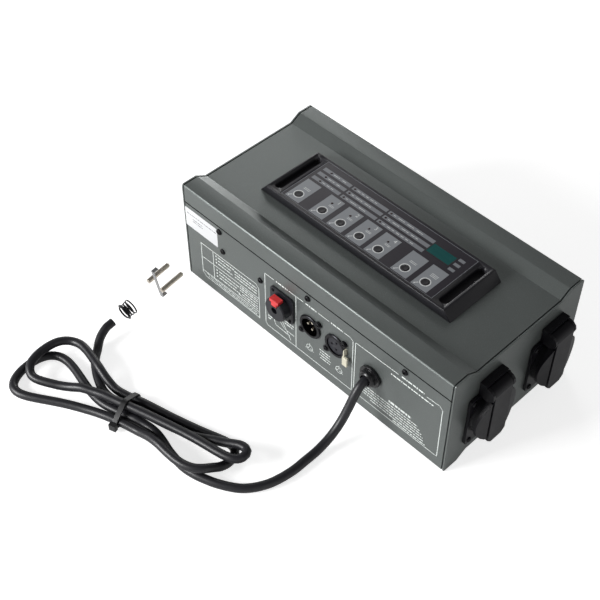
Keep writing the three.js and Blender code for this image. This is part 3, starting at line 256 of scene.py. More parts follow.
# Lacquered circuit board: lighter copper lanes under the green
def circuitBoard():
    look = {"green": (0.008, 0.05, 0.02), "lane": (0.03, 0.14, 0.05), "narrowed": 0.08, "grain": 0.8,
            "depth": 0.03}

    def varied(place):
        lanes = place.stretched(1, look["narrowed"], 1).noise(2.4, 1)
        cross = place.stretched(look["narrowed"], 1, 1).noise(3.1, 1)
        copper = (lanes > 0.56).maths("MAXIMUM", cross > 0.6)
        return {
            "Base Color": copper.colours(look["green"], look["lane"]),
            "Roughness": place.noise(look["grain"]).between(0.25, 0.45),
            "Normal": copper.bump(look["depth"]),
        }
    return finish("circuit_board", {"Coat Weight": 0.4, "Coat Roughness": 0.12}, varied)


# Tinted window over a dark display, with faint streaks
def displayPane():
    look = {"dark": (0.0, 0.07, 0.068), "pale": (0.0, 0.09, 0.086), "streak": 2.5, "drawnOut": 0.2}

    def varied(place):
        streak = place.stretched(look["drawnOut"], 1, 1).noise(look["streak"])
        return {
            "Base Color": streak.colours(look["dark"], look["pale"]),
            "Roughness": streak.between(0.12, 0.26),
        }
    return finish("display_pane", {"Coat Weight": 0.6, "Coat Roughness": 0.06}, varied)


# Matt paper label with fibres
def paperLabel():
    look = {"dark": (0.66, 0.67, 0.68), "pale": (0.8, 0.81, 0.82), "fibre": 0.35, "depth": 0.01}

    def varied(place):
        fibre = place.noise(look["fibre"], 4, 0.65)
        return {
            "Base Color": fibre.colours(look["dark"], look["pale"]),
            "Roughness": fibre.between(0.5, 0.66),
            "Normal": fibre.bump(look["depth"]),
        }
    return finish("paper_label", {}, varied)


paint = housingPaint()
# Each plastic's colour, roughness, grain and bump depth, the last two in millimetres
panelPlastic = moulded("panel_plastic", (0.013, 0.0125, 0.016), 0.4, 0.45, 0.015)
film = moulded("overlay_film", (0.0165, 0.013, 0.02), 0.36, 0.6, 0.008)
keyPlastic = moulded("key_plastic", (0.016, 0.015, 0.018), 0.42, 0.3, 0.01)
outletPlastic = moulded("outlet_plastic", (0.005, 0.0045, 0.007), 0.38, 0.4, 0.02, ior=1.4)
lidPlastic = moulded("lid_plastic", (0.005, 0.0045, 0.007), 0.4, 0.4, 0.02, ior=1.33)
jackPlastic = moulded("jack_plastic", (0.009, 0.009, 0.013), 0.4, 0.4, 0.02)
# Near-black, for the strip that paints shade into the seam between the halves
seamShadeRubber = moulded("seam_shade_rubber", (0.004, 0.004, 0.004), 0.7, 0.5, 0.01, ior=1.2)
insertPlastic = moulded("insert_plastic", (0.017, 0.017, 0.023), 0.5, 0.4, 0.02)
plugRubber = moulded("plug_rubber", (0.008, 0.008, 0.01), 0.36, 0.5, 0.012, ior=1.42)
tiePlastic = moulded("tie_plastic", (0.012, 0.012, 0.013), 0.4, 0.5, 0.01)
bushingPlastic = moulded("bushing_plastic", (0.006, 0.006, 0.007), 0.24, 0.5, 0.01)
releaseRed = moulded("release_red", (0.72, 0.028, 0.032), 0.36, 0.4, 0.01, coat=0.2)
latchCream = moulded("latch_cream", (0.66, 0.63, 0.5), 0.4, 0.5, 0.01, coat=0.2)
terminalPlastic = moulded("terminal_plastic", (0.5, 0.5, 0.47), 0.5, 0.5, 0.02)
lampPlastic = moulded("lamp_plastic", (0.03, 0.008, 0.008), 0.25, 0.3, 0.004, coat=0.4)
# Each metal's colour and roughness
shellBlack = metal("connector_black", (0.024, 0.024, 0.027), 0.3)
screwBlack = metal("screw_black", (0.028, 0.028, 0.03), 0.38)
steel = metal("bright_steel", (0.5, 0.5, 0.51), 0.3)
nickel = metal("contact_nickel", (0.9, 0.82, 0.68), 0.22, depth=0.004)
pinMetal = metal("pin_metal", (0.75, 0.68, 0.58), 0.3, grain=3, depth=0.001)
brass = metal("contact_brass", (0.6, 0.43, 0.18), 0.3)
aluminium = metal("sink_aluminium", (0.5, 0.51, 0.52), 0.42, lines=(0.05, 1, 1))
coreIron = metal("core_iron", (0.12, 0.1, 0.085), 0.55, lines=(1, 0.05, 1))
whiteInk = ink("white_ink", (0.82, 0.87, 0.84))
greyInk = ink("grey_ink", (0.265, 0.28, 0.3), 0.42)
greyBar = ink("grey_bar_ink", (0.22, 0.23, 0.25), 0.42)
paleInk = ink("pale_ink", (0.78, 0.8, 0.8), 0.42)
labelInk = ink("label_ink", (0.13, 0.13, 0.15))
labelPaper = paperLabel()
jacket = cordJacket()
board = circuitBoard()
pane = displayPane()


def bareTree(holder):
    holder.use_nodes = True
    holder.node_tree.nodes.clear()
    return holder.node_tree


def heldIn(name, form):
    mesh = bpy.data.meshes.new(name)
    form.to_mesh(mesh)
    form.free()
    return linked(name, mesh)


# A finished form becomes a piece that rides on its body and stands for its CAD nodes
def addPiece(name, form, material, slot, body="case", replaced=(), sharp=35, edge=0.0):
    made = heldIn(name, form)
    made.data.materials.append(material)
    made.data.shade_smooth()
    made.data.set_sharp_from_angle(angle=math.radians(sharp))
    if edge:
        bevel = made.modifiers.new("edges", "BEVEL")
        bevel.width = edge * mm
        bevel.segments = 2
        bevel.limit_method = "ANGLE"
        bevel.angle_limit = math.radians(sharp)
        bevel.harden_normals = True
    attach(made, body)
    if replaced:
        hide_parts(*replaced)
    return made


bodyOf = {node: body for body, nodes in frame["record"]["behaviour"]["bodies"].items() for node in nodes}
weld = {"distance": 0.01, "bend": 0.5}


# The CAD solid's own shape as one skin, without the edges inside its flat faces
def weldedNode(node):
    form = bmesh.new()
    form.from_mesh(frame["nodes"][node].data)
    bmesh.ops.remove_doubles(form, verts=form.verts[:], dist=weld["distance"] * mm)
    bmesh.ops.dissolve_limit(form, angle_limit=math.radians(weld["bend"]), verts=form.verts[:],
                             edges=form.edges[:])
    return form


# That skin with eased edges, in the solid's stead
def easedCopy(node, material, slot, edge):
    return addPiece(f"{node}_skin", weldedNode(node), material, slot, bodyOf[node], (node,), 30, edge)


# What is left of a form when another is cut from it
def carved(form, cutter):
    body, tool = heldIn("body", form), heldIn("tool", cutter)
    cut = body.modifiers.new("cut", "BOOLEAN")
    cut.object = tool
    cut.operation = "DIFFERENCE"
    cut.solver = "EXACT"
    mesh = bpy.data.meshes.new_from_object(body.evaluated_get(bpy.context.evaluated_depsgraph_get()))
    left = bmesh.new()
    left.from_mesh(mesh)
    bpy.data.meshes.remove(mesh)
    for made in (body, tool):
        data = made.data
        bpy.data.objects.remove(made)
        bpy.data.meshes.remove(data)
    return left


def repaint(node, material):
    data = frame["nodes"][node].data
    data.materials.clear()
    data.materials.append(material)


# Outlines are in millimetres, x to the right and y up as one looks at the face, z out of it
def rectangle(x0, y0, x1, y1):
    return [(x0, y0), (x1, y0), (x1, y1), (x0, y1)]


def roundedRectangle(width, height, radius, steps):
    points = []
    for quarter, (sideX, sideY) in enumerate(((1, -1), (1, 1), (-1, 1), (-1, -1))):
        centre = (sideX * (width / 2 - radius), sideY * (height / 2 - radius))
        for i in range(steps + 1):
            turn = math.radians(90 * (quarter - 1 + i / steps))
            points.append((centre[0] + radius * math.cos(turn), centre[1] + radius * math.sin(turn)))
    return points


def circle(radius, steps):
    turns = [math.tau * i / steps for i in range(steps)]
    return [(radius * math.cos(turn), radius * math.sin(turn)) for turn in turns]


# The same outline a distance further in, with mitred corners
def inset(outline, distance):
    sharpest = 0.1
    points = []
    for before, here, after in zip(outline[-1:] + outline[:-1], outline, outline[1:] + outline[:1]):
        come = (Vector(here) - Vector(before)).normalized()
        go = (Vector(after) - Vector(here)).normalized()
        share = distance / max(sharpest, 1 + come.dot(go))
        points.append((here[0] - (come.y + go.y) * share, here[1] + (come.x + go.x) * share))
    return points


def raised(outline, z):
    return [(x, y, z) for x, y in outline]


# Loops of as many points each, joined one to the next, and closed by faces or round to the first
def lofted(loops, ring=False):
    form = bmesh.new()
    rows = [[form.verts.new(point) for point in loop] for loop in loops]
    for low, high in zip(rows, rows[1:] + (rows[:1] if ring else [])):
        for i in range(len(low)):
            form.faces.new((low[i - 1], low[i], high[i], high[i - 1]))
    if not ring:
        form.faces.new(rows[0][::-1])
        form.faces.new(rows[-1])
    bmesh.ops.recalc_face_normals(form, faces=form.faces[:])
    return form


# A flat form between two heights, with its upper edge rounded where an ease is given
def slab(outline, low, high, ease=0.0):
    if not ease:
        return lofted([raised(outline, low), raised(outline, high)])
    steps = 3
    turns = [math.pi / 2 * i / steps for i in range(steps + 1)]
    rounding = [raised(inset(outline, ease * (1 - math.cos(turn))), high - ease + ease * math.sin(turn))
                for turn in turns]
    return lofted([raised(outline, low), *rounding])


# The same with an opening through it, both outlines having as many points
def openSlab(outer, inner, low, high):
    return lofted([raised(outer, low), raised(outer, high), raised(inner, high), raised(inner, low)], True)


def band(outline, width, low, high):
    return openSlab(outline, inset(outline, width), low, high)


# A thin line from point to point, open at its ends
def stroke(points, width, low, high):
    forms = []
    for start, end in zip(points, points[1:]):
        along = Vector((end[0] - start[0], end[1] - start[1])).normalized() * width / 2
        side = Vector((-along.y, along.x))
        corners = [(x + way * along.x + hand * side.x, y + way * along.y + hand * side.y)
                   for (x, y), way, hand in ((start, -1, -1), (end, 1, -1), (end, 1, 1), (start, -1, 1))]
        forms.append(slab(corners, low, high))
    return gathered(forms)


# A plate with a round hole about the origin
def holedPlate(x0, y0, x1, y1, radius, low, high):
    steps = 28
    tiny = 1e-9
    corners = [math.atan2(y, x) % math.tau for x in (x0, x1) for y in (y0, y1)]
    turns = sorted([math.tau * (i + 0.5) / steps for i in range(steps)] + corners)
    outer = []
    for turn in turns:
        c, s = math.cos(turn), math.sin(turn)
        reach = min((x1 if c > 0 else x0) / (c or tiny), (y1 if s > 0 else y0) / (s or tiny))
        outer.append((c * reach, s * reach))
    return openSlab(outer, [(radius * math.cos(turn), radius * math.sin(turn)) for turn in turns], low, high)


# A profile of radius and height spun round z; a ring's profile closes on itself
def spunForm(profile, steps=40, ring=False):
    form = bmesh.new()
    line = [form.verts.new((radius, 0, z)) for radius, z in profile]
    links = [form.edges.new(pair) for pair in zip(line, line[1:] + (line[:1] if ring else []))]
    bmesh.ops.spin(form, geom=line + links, cent=(0, 0, 0), axis=(0, 0, 1), angle=math.tau, steps=steps,
                   use_merge=True)
    bmesh.ops.remove_doubles(form, verts=form.verts[:], dist=1e-4)
    bmesh.ops.recalc_face_normals(form, faces=form.faces[:])
    return form


# A pan head with a cross recess: a ring of the top pulled out to a plus and pushed in
def crossScrew(radius, height):
    look = {"slice": 15, "arm": 0.56, "recess": 0.35,
            "rings": ((1, 0), (1, 0.42), (0.93, 0.72), (0.78, 0.92), (0.64, 1))}
    perQuarter = 90 // look["slice"]
    arm = radius * look["arm"]
    half = arm * math.tan(math.radians(look["slice"]))
    plus = []
    for i in range(4 * perQuarter):
        quarter, step = divmod(i + perQuarter // 2, perQuarter)
        fromMiddle = step - perQuarter // 2
        turn = math.radians(look["slice"] * fromMiddle)
        if abs(fromMiddle) < 2:
            x, y = arm, arm * math.tan(turn)
        else:
            x, y = half / abs(math.tan(turn)), math.copysign(half, turn)
        plus.append(Matrix.Rotation(math.tau * quarter / 4, 2) @ Vector((x, y)))
    turns = [math.radians(look["slice"] * i) for i in range(4 * perQuarter)]
    loops = [[(radius * share * math.cos(turn), radius * share * math.sin(turn), height * lift)
              for turn in turns] for share, lift in look["rings"]]
    return lofted(loops + [raised(plus, height), raised(plus, height * look["recess"])])


def lettering(text, size):
    drawn = bpy.data.curves.new("letters", "FONT")
    drawn.body = text
    drawn.size = size
    drawn.extrude = 0.02
    drawn.align_x = "CENTER"
    drawn.align_y = "CENTER"
    holder = bpy.data.objects.new("letters", drawn)
    mesh = bpy.data.meshes.new_from_object(holder)
    form = bmesh.new()
    form.from_mesh(mesh)
    bpy.data.objects.remove(holder)
    bpy.data.curves.remove(drawn)
    bpy.data.meshes.remove(mesh)
    return form


def gathered(forms):
    whole = bmesh.new()
    for form in forms:
        part = bpy.data.meshes.new("part")
        form.to_mesh(part)
        form.free()
        whole.from_mesh(part)
        bpy.data.meshes.remove(part)
    return whole


def moved(form, matrix):
    bmesh.ops.transform(form, matrix=matrix, verts=form.verts[:])
    return form


def turned(form, x=0, y=0, z=0, turn=0.0):
    return moved(form, Matrix.Translation((x, y, z)) @ Matrix.Rotation(turn, 4, "Z"))


# A form in millimetres set on a side of the case
def settled(form, side, x=0, y=0, z=0):
    return moved(form, placed(side, x, y, z))


print("cord")
cordFacts = {"diameter": 0.008, "step": 0.0025, "rest": 0.00412, "length": 1.385, "facets": 5}
hank = {"place": (0.0905, -0.1495), "turn": 17.9, "waistHalf": 0.009, "waistLift": 0.0017, "waistShare": 0.08,
        "pitch": 0.0088, "places": (-0.5, -1.5, 1.5, 0, 0.5), "topShare": 0.976, "fullness": 1.3, "steps": 24}
plug = {"place": (0.0064, -0.0384, 0.0217), "turn": 92.6, "tilt": 7.4, "roll": -5.4, "length": 0.061}
# The cord's line in metres: the runs to and from the hank lie in the hank's own directions
supplyRoute = [
    (0.2355, 0.012, 0.0525), (0.2355, 0.002, 0.0525), (0.2355, -0.006, 0.0524), (0.2354, -0.0126, 0.0504),
    (0.2353, -0.019, 0.0435), (0.2352, -0.0265, 0.0315), (0.235, -0.035, 0.02), (0.2348, -0.046, 0.011),
    (0.2346, -0.06, 0.0056), (0.2343, -0.076, 0.00416), (0.234, -0.092, 0.00416), (0.229, -0.114, 0.00416),
    (0.218, -0.131, 0.00416),
]
supplyToHank = [
    (0.108, -0.027, 0.00416), (0.097, -0.028, 0.00416), (0.086, -0.028, 0.00416), (0.075, -0.0265, 0.00416),
    (0.066, -0.0235, 0.00416), (0.055, -0.0185, 0.00416), (0.045, -0.0125, 0.00416), (0.036, -0.008, 0.00416),
    (0.028, -0.0056, 0.00416), (0.02, -0.0046, 0.0047), (0.013, -0.0044, 0.00582),
]
leadFromHank = [
    (-0.013, 0.0044, 0.00582), (-0.02, 0.0054, 0.0047), (-0.03, 0.009, 0.00416), (-0.039, 0.0155, 0.00416),
    (-0.048, 0.024, 0.00416), (-0.056, 0.034, 0.00416), (-0.061, 0.045, 0.0046),
]
leadRise = (0.0121, -0.1165, 0.0087)
topStrand = math.sqrt(3) / 2 * hank["pitch"] / cordFacts["diameter"] * hank["topShare"]
# Each loop leaves the waist as one strand and comes back as the next, at heights in cord diameters
hankLoops = [
    {"side": -1, "reach": 0.107, "bulge": 0.0223, "sway": 0.0073, "power": 1, "levels": [(0, 0), (1, 0)]},
    {"side": 1, "reach": 0.105, "bulge": -0.0124, "sway": -0.0085, "power": 1,
     "levels": [(0, 0), (0.02, 0), (0.12, 1.08), (0.34, 1.1), (0.46, 0.1), (0.5, 0), (1, 0)]},
    {"side": -1, "reach": 0.1, "bulge": 0.0201, "sway": 0.0084, "power": 1,
     "levels": [(0, 0), (0.02, 0.05), (0.13, 1.12), (0.22, 1.1), (0.3, 0.95), (0.38, 1.1), (0.52, 1.1),
                (0.65, 0.55), (0.8, 0.5), (0.89, 1.16), (0.96, 1.12), (1, topStrand)]},
    {"side": 1, "reach": 0.117, "bulge": -0.0098, "sway": -0.002, "power": 4,
     "levels": [(0, topStrand), (0.08, 1.1), (0.4, 1.35), (0.5, 1.4), (0.62, 1.3), (0.72, 0.95), (0.86, 0.1),
                (1, 0)]},
]


# A place given in the hank's own directions
def onFloor(u, v, z):
    turn = math.radians(hank["turn"])
    x = hank["place"][0] + u * math.cos(turn) - v * math.sin(turn)
    y = hank["place"][1] + u * math.sin(turn) + v * math.cos(turn)
    return corner + Vector((x, y, z))


def eased(t):
    return t * t * (3 - 2 * t)


def levelAt(levels, t):
    for (t0, low), (t1, high) in zip(levels, levels[1:]):
        if t <= t1:
            return low + (high - low) * eased((t - t0) / (t1 - t0))
    return levels[-1][1]


def loopPoint(loop, index, t):
    s = math.sin(math.pi * t)
    w = math.sin(math.tau * t)
    start, end = (place * hank["pitch"] for place in hank["places"][index:index + 2])
    u = loop["side"] * (hank["waistHalf"] + (loop["reach"] - hank["waistHalf"]) * s)
    v = start + (end - start) * eased(t) + loop["sway"] * w * w
    v += hank["fullness"] * loop["bulge"] * w * s ** loop["power"]
    nearWaist = 1 - eased(min(1, min(t, 1 - t) / hank["waistShare"]))
    z = cordFacts["rest"] + hank["waistLift"] * nearWaist + cordFacts["diameter"] * levelAt(loop["levels"], t)
    return onFloor(u, v, z)


def hankPoints():
    height = cordFacts["rest"] + hank["waistLift"]
    first, last = (hank["places"][i] * hank["pitch"] for i in (0, -1))
    loops = [loopPoint(loop, index, i / hank["steps"])
             for index, loop in enumerate(hankLoops) for i in range(hank["steps"] + 1)]
    return [onFloor(hank["waistHalf"], first, height), *loops, onFloor(-hank["waistHalf"], last, height)]


plugFrame = (Matrix.Translation(corner + Vector(plug["place"]))
             @ Matrix.Rotation(math.radians(plug["turn"]), 4, "Z")
             @ Matrix.Rotation(-math.radians(plug["tilt"]), 4, "Y")
             @ Matrix.Rotation(math.radians(plug["roll"]), 4, "X"))


def cordPoints():
    behindPlug = [-plug["length"] - cordFacts["diameter"] * share for share in (1, 0.5, 0.04)]
    return [
        *[corner + Vector(point) for point in supplyRoute],
        *[onFloor(*point) for point in supplyToHank],
        *hankPoints(),
        *[onFloor(*point) for point in leadFromHank],
        corner + Vector(leadRise),
        *[plugFrame @ Vector((x, 0, 0)) for x in behindPlug],
    ]


# A smooth line through the points, with chords of about one step
def smoothThrough(points, step):
    ends = [points[0] * 2 - points[1], *points, points[-1] * 2 - points[-2]]
    line = []
    for a, b, c, d in zip(ends, ends[1:], ends[2:], ends[3:]):
        before, span, after = [math.sqrt((q - p).length) for p, q in ((a, b), (b, c), (c, d))]
        leave = ((b - a) / before - (c - a) / (before + span) + (c - b) / span) * span
        arrive = ((c - b) / span - (d - b) / (span + after) + (d - c) / after) * span
        count = max(1, round((c - b).length / step))
        line += interpolate_bezier(b, b + leave / 3, c - arrive / 3, c, count + 1)[:-1]
    return line + [points[-1]]


def supplyCord():
    line = smoothThrough(cordPoints(), cordFacts["step"])
    curve = bpy.data.curves.new("mains_cord", "CURVE")
    curve.dimensions = "3D"
    curve.bevel_depth = cordFacts["diameter"] / 2
    curve.bevel_resolution = cordFacts["facets"]
    curve.use_fill_caps = True
    spline = curve.splines.new("POLY")
    spline.points.add(len(line) - 1)
    for point, place in zip(spline.points, line):
        point.co = (*place, 1)
    spline.use_smooth = True
    curve.materials.append(jacket)
    made = linked("mains_cord", curve)
    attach(made, "case")
    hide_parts("supply_cord", "cord_hank", "plug_lead")
    return made


cord = supplyCord()
tie = easedCopy("cord_tie", tiePlastic, "panel_plastic", 0.25)


# The plug's body, with a thumb scoop in the side that faces up and out, and wider grooves in its relief
def plugSkin():
    scoop = {"turn": 44, "x": -10.5, "long": 14.5, "wide": 14, "deep": 3.2, "radius": 18.6, "around": 48,
             "along": 32}
    relief = {"start": -54, "pitch": 17 / 6, "count": 6, "core": 5.6, "taper": 0.4, "outside": 12,
              "low": -0.25, "high": 1.75, "steps": 48}
    place = plugFrame @ Matrix.Scale(mm, 4)
    body = moved(weldedNode("plug_body"), place.inverted())
    bowl = bmesh.new()
    bmesh.ops.create_uvsphere(bowl, u_segments=scoop["around"], v_segments=scoop["along"],
                              radius=scoop["wide"])
    bmesh.ops.scale(bowl, vec=(scoop["long"] / scoop["wide"], 1, 1), verts=bowl.verts[:])
    reach = scoop["radius"] - scoop["deep"] + scoop["wide"]
    moved(bowl, Matrix.Rotation(math.radians(scoop["turn"]), 4, "X")
          @ Matrix.Translation((scoop["x"], 0, reach)))
    rings = []
    for i in range(relief["count"]):
        x = relief["start"] + relief["pitch"] * i
        core = relief["core"] + relief["taper"] * i
        profile = [(core, x + relief["low"]), (relief["outside"], x + relief["low"]),
                   (relief["outside"], x + relief["high"]), (core, x + relief["high"])]
        rings.append(spunForm(profile, relief["steps"], ring=True))
    grooves = gathered(rings)
    bmesh.ops.rotate(grooves, cent=(0, 0, 0), matrix=Matrix.Rotation(math.radians(90), 3, "Y"),
                     verts=grooves.verts[:])
    form = moved(carved(carved(body, bowl), grooves), place)
    return addPiece("plug_body_skin", form, plugRubber, "plug_rubber", "case", ("plug_body",), 32, 0.25)


plugPieces = [
    plugSkin(),
    easedCopy("plug_pin_left", pinMetal, "contact_nickel", 0.15),
    easedCopy("plug_pin_right", pinMetal, "contact_nickel", 0.15),
    easedCopy("plug_earth_strip", steel, "steel", 0.1),
]

print("case")
caseEdges = {"top_cover": 0.15, "base_tray": 0.3, "left_end_panel": 0.3, "right_end_panel": 0.3}
for node, edge in caseEdges.items():
    easedCopy(node, paint, "housing_paint", edge)

# Radius and height of each sort of screw head, and where the screws of the case stand
screwHeads = {"seam": (3, 1.8), "rear": (3, 1.8), "floor": (3, 1.7), "cooler": (2.9, 1.7),
              "outlet": (2.6, 1.5), "jack": (1.7, 0.9), "data": (2.3, 1.2)}
screws = {"seamX": (48.64, 160, 270.4), "seamZ": 87.7, "sunk": 0.1, "rear": 161.5, "floorX": (22, 160, 298),
          "floorY": (36, 125), "floor": 6.3, "coolerX": (51.6, 101), "coolerZ": 65}


# Cross-recess screws of one sort on faces of the case, each given as side, x, y, z and turn
def addScrews(name, sort, places, replaced=()):
    forms = [settled(turned(crossScrew(*screwHeads[sort]), turn=turn), side, x, y, z)
             for side, x, y, z, turn in places]
    addPiece(name, gathered(forms), screwBlack, "black_screw", replaced=replaced)


for index, x in enumerate(screws["seamX"]):
    addScrews(f"seam_screw_head_{index + 1}", "seam", [
        ("front", x, -screws["sunk"], screws["seamZ"], 0.4 + index)], (f"seam_screw_{index + 1}",))
addScrews("rear_screws", "rear", [
    ("rear", x, screws["rear"], screws["seamZ"], 0.3 * x) for x in screws["seamX"]])
addScrews("floor_screws", "floor", [
    ("bottom", x, y, screws["floor"], x + y) for x in screws["floorX"] for y in screws["floorY"]])
addScrews("cooler_screws", "cooler", [
    ("front", x, 0, screws["coolerZ"], x) for x in screws["coolerX"]])


# A dark strip in the joint between the halves, in front and behind: a near-black sheet that paints the shade
# of the seam's gap
def seamSeal():
    look = {"low": 92.6, "high": 94, "start": 1.4, "end": 318.6, "rear": 161.4, "sheet": 0.05}
    spans = [settled(slab(rectangle(x0, look["low"], x1, look["high"]), 0, look["sheet"]), side, 0, y, 0)
             for side, y, x0, x1 in (("front", 0, look["start"], look["end"]),
                                     ("rear", look["rear"], -look["end"], -look["start"]))]
    addPiece("seam_shade_strip", gathered(spans), seamShadeRubber, "cord_jacket", sharp=20)


seamSeal()

print("control panel")
panel = {"x": 160, "y": 82.75, "long": 176, "deep": 59.8, "face": 115.72, "sheet": 0.05}
keysX = [panel["x"] + panel["long"] * share for share in (-0.431, -0.266, -0.141, -0.015, 0.11, 0.2825, 0.41)]
keysY = panel["y"] - panel["deep"] * 0.326
lampsX = [panel["x"] + panel["long"] * share for share in (-0.424, -0.2585, -0.0113)]
lampsY = [panel["y"] + panel["deep"] * share for share in (0.097, 0.2174, 0.3395)]
channelLampY = panel["y"] - panel["deep"] * 0.1187
channelKeys = range(1, 5)


# The housing's own shape, with its outer rim and its four upright corners eased
def housingSkin():
    look = {"slope": 0.0075, "near": 0.0001, "longer": 0.005, "ease": 0.0007, "segments": 3}
    form = weldedNode("control_housing")
    (x0, y0, low), (x1, y1, high) = [Vector(end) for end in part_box("control_housing")]

    def onRim(vert):
        place = vert.co
        inward = min(place.y - y0, y1 - place.y, place.x - x0 - look["slope"], x1 - look["slope"] - place.x)
        return place.z > high - look["near"] and inward < look["near"]

    def climbs(edge):
        start, end = [vert.co for vert in edge.verts]
        ends = sorted(round((place.z - low) / (high - low)) for place in (start, end))
        return abs(start.x - end.x) > look["longer"] and ends == [0, 1]

    rim = [edge for edge in form.edges if all(onRim(vert) for vert in edge.verts)]
    rim += [edge for edge in form.edges if climbs(edge)]
    bmesh.ops.bevel(form, geom=rim, offset=look["ease"], offset_type="OFFSET", segments=look["segments"],
                    profile=0.5, affect="EDGES", material=-1)
    addPiece("housing_skin", form, panelPlastic, "panel_plastic", replaced=("control_housing",), sharp=40)


housingSkin()
easedCopy("key_overlay", film, "overlay_print", 0)
easedCopy("display_window", pane, "display_window", 0.12)


# A cap with a rolled rim and a shallow dish in its top, on the foot that holds it under the panel
def keyCap(index, x):
    profile = [(0, 111.9), (4.45, 111.9), (4.5, 112), (4.5, 112.6), (4.4, 112.7), (3.6, 112.7),
               (3.6, 115.75), (3.52, 115.98), (3.3, 116.12), (3, 116.18), (2.6, 116.17), (1.6, 116.06),
               (0, 116)]
    form = settled(spunForm(profile), "top", x, keysY)
    addPiece(f"key_cap_{index}", form, keyPlastic, "key_plastic", f"key_{index}", (f"button_{index}",), 50)


for index, x in enumerate(keysX):
    keyCap(index + 1, x)


# A print on the panel: flat forms gathered on its face
def addPrint(name, forms, material, **settings):
    whole = settled(gathered(forms), "top", z=panel["face"])
    addPiece(name, whole, material, "overlay_print", **settings)


# Grey blocks round the keys, each in two halves: one round the ring and one round the lamp
def panelBlocks():
    look = {"low": 54.5, "split": 70.9, "high": 83.4, "ring": 4.95, "lamp": 1.2}
    spans = [(75.8, 92.4), (104.8, 121.4), (126.7, 143.8), (148.6, 166.2), (170.5, 188), (201, 218.5),
             (223.6, 240.6)]
    forms = []

    def holed(x0, y0, x1, y1, x, y, radius):
        forms.append(turned(holedPlate(x0 - x, y0 - y, x1 - x, y1 - y, radius, 0, panel["sheet"]), x, y))

    for index, ((x0, x1), x) in enumerate(zip(spans, keysX)):
        holed(x0, look["low"], x1, look["split"], x, keysY, look["ring"])
        if index in channelKeys:
            holed(x0, look["split"], x1, look["high"], x, channelLampY, look["lamp"])
        else:
            forms.append(slab(rectangle(x0, look["split"], x1, look["high"]), 0, panel["sheet"]))
    addPrint("panel_blocks", forms, greyInk)


# Three rows of bars in three columns, with a window for each lamp, and short bars beside the display
def panelBars():
    look = {"half": 2.05, "lamp": 1.2, "shortHalf": 1.6, "shortStart": 234.8, "shortEnd": 241}
    columns = [(76.2, 109.6), (111.8, 153.4), (155.2, 207.2)]
    half = look["half"]
    forms = []

    def bar(x0, x1, y, high):
        forms.append(slab(rectangle(x0, y - high, x1, y + high), 0, panel["sheet"]))

    for y in lampsY:
        for (x0, x1), x in zip(columns, lampsX):
            bar(x0, x - half, y, half)
            forms.append(turned(holedPlate(-half, -half, half, half, look["lamp"], 0, panel["sheet"]), x, y))
            bar(x + half, x1, y, half)
    for y in (89, 96, 102.6):
        bar(look["shortStart"], look["shortEnd"], y, look["shortHalf"])
    addPrint("panel_bars", forms, greyBar)


# Rings round the keys with their pointers, channel numbers, and short rules in place of the small words
def panelMarks():
    ring = {"radius": 4.98, "width": 0.92, "high": 0.07, "steps": 40}
    mark = {"low": 0.05, "high": 0.09, "pointer": 0.7, "dot": 0.75, "dotSteps": 12}
    word = {"low": 0.05, "high": 0.08, "half": 0.28, "step": 5.2, "length": 3.2, "swing": 1.4}
    digit = {"size": 5.6, "across": 4.4, "y": 79.8, "lift": 0.07}
    columns = ((88.4, 15), (117.4, 28), (161, 36))
    forms = []

    def rule(x0, x1, y0, y1):
        forms.append(slab(rectangle(x0, y0, x1, y1), word["low"], word["high"]))

    for index, x in enumerate(keysX):
        outline = circle(ring["radius"], ring["steps"])
        forms.append(turned(band(outline, ring["width"], 0, ring["high"]), x, keysY))
        forms.append(stroke([(x - 5.9, keysY - 6.3), (x - 4.1, keysY - 4.3)], mark["pointer"], mark["low"],
                            mark["high"]))
        forms.append(turned(slab(circle(mark["dot"], mark["dotSteps"]), mark["low"], mark["high"]),
                            x - 6.1, keysY - 6.7))
        if index in channelKeys:
            number = lettering(str(index), digit["size"])
            forms.append(turned(number, x + digit["across"], digit["y"], digit["lift"]))
            for y in (71.3, 72.6):
                rule(x - 0.5, x + 5.2, y, y + 0.42)
        else:
            for y in (71.5, 73, 74.5) if x == keysX[-1] else (71.5, 73):
                rule(x - 2.5, x + 4.6, y, y + 0.45)
    for row, y in enumerate(lampsY):
        for column, (start, run) in enumerate(columns):
            for part in range(run // 5):
                x = start + part * word["step"]
                wide = word["length"] + word["swing"] * math.sin(7 * row + 5 * column + 3 * part)
                rule(x, x + wide, y - word["half"], y + word["half"])
    addPrint("panel_marks", forms, paleInk)


def lampDomes():
    profile = [(0, -0.4), (0.9, -0.4), (0.9, 0), (0.75, 0.12), (0.4, 0.2), (0, 0.22)]
    places = [(x, y) for x in lampsX for y in lampsY]
    places += [(keysX[index], channelLampY) for index in channelKeys]
    domes = [turned(spunForm(profile, 16), x, y, panel["face"]) for x, y in places]
    addPiece("lamp_domes", settled(gathered(domes), "top"), lampPlastic, "overlay_print", sharp=50)


# The dark edge round the display's pane, and the fine pale rule that frames the overlay
def panelFrames():
    display = {"outline": rectangle(207.3, 90, 233.7, 103.3), "width": 0.9, "high": 0.06}
    overlay = {"outline": rectangle(72.3, 53.15, 247.7, 112.35), "width": 0.45}
    edge = band(display["outline"], display["width"], 0, display["high"])
    rule = band(overlay["outline"], overlay["width"], 0, panel["sheet"])
    addPrint("display_frame", [edge], keyPlastic, sharp=20)
    addPrint("overlay_rule", [rule], greyBar)


panelBlocks()
panelBars()
panelMarks()
lampDomes()
panelFrames()

print("front print")
printed = {"sheet": 0.04, "line": 0.7}


def patch(outline):
    return slab(outline, 0, printed["sheet"])


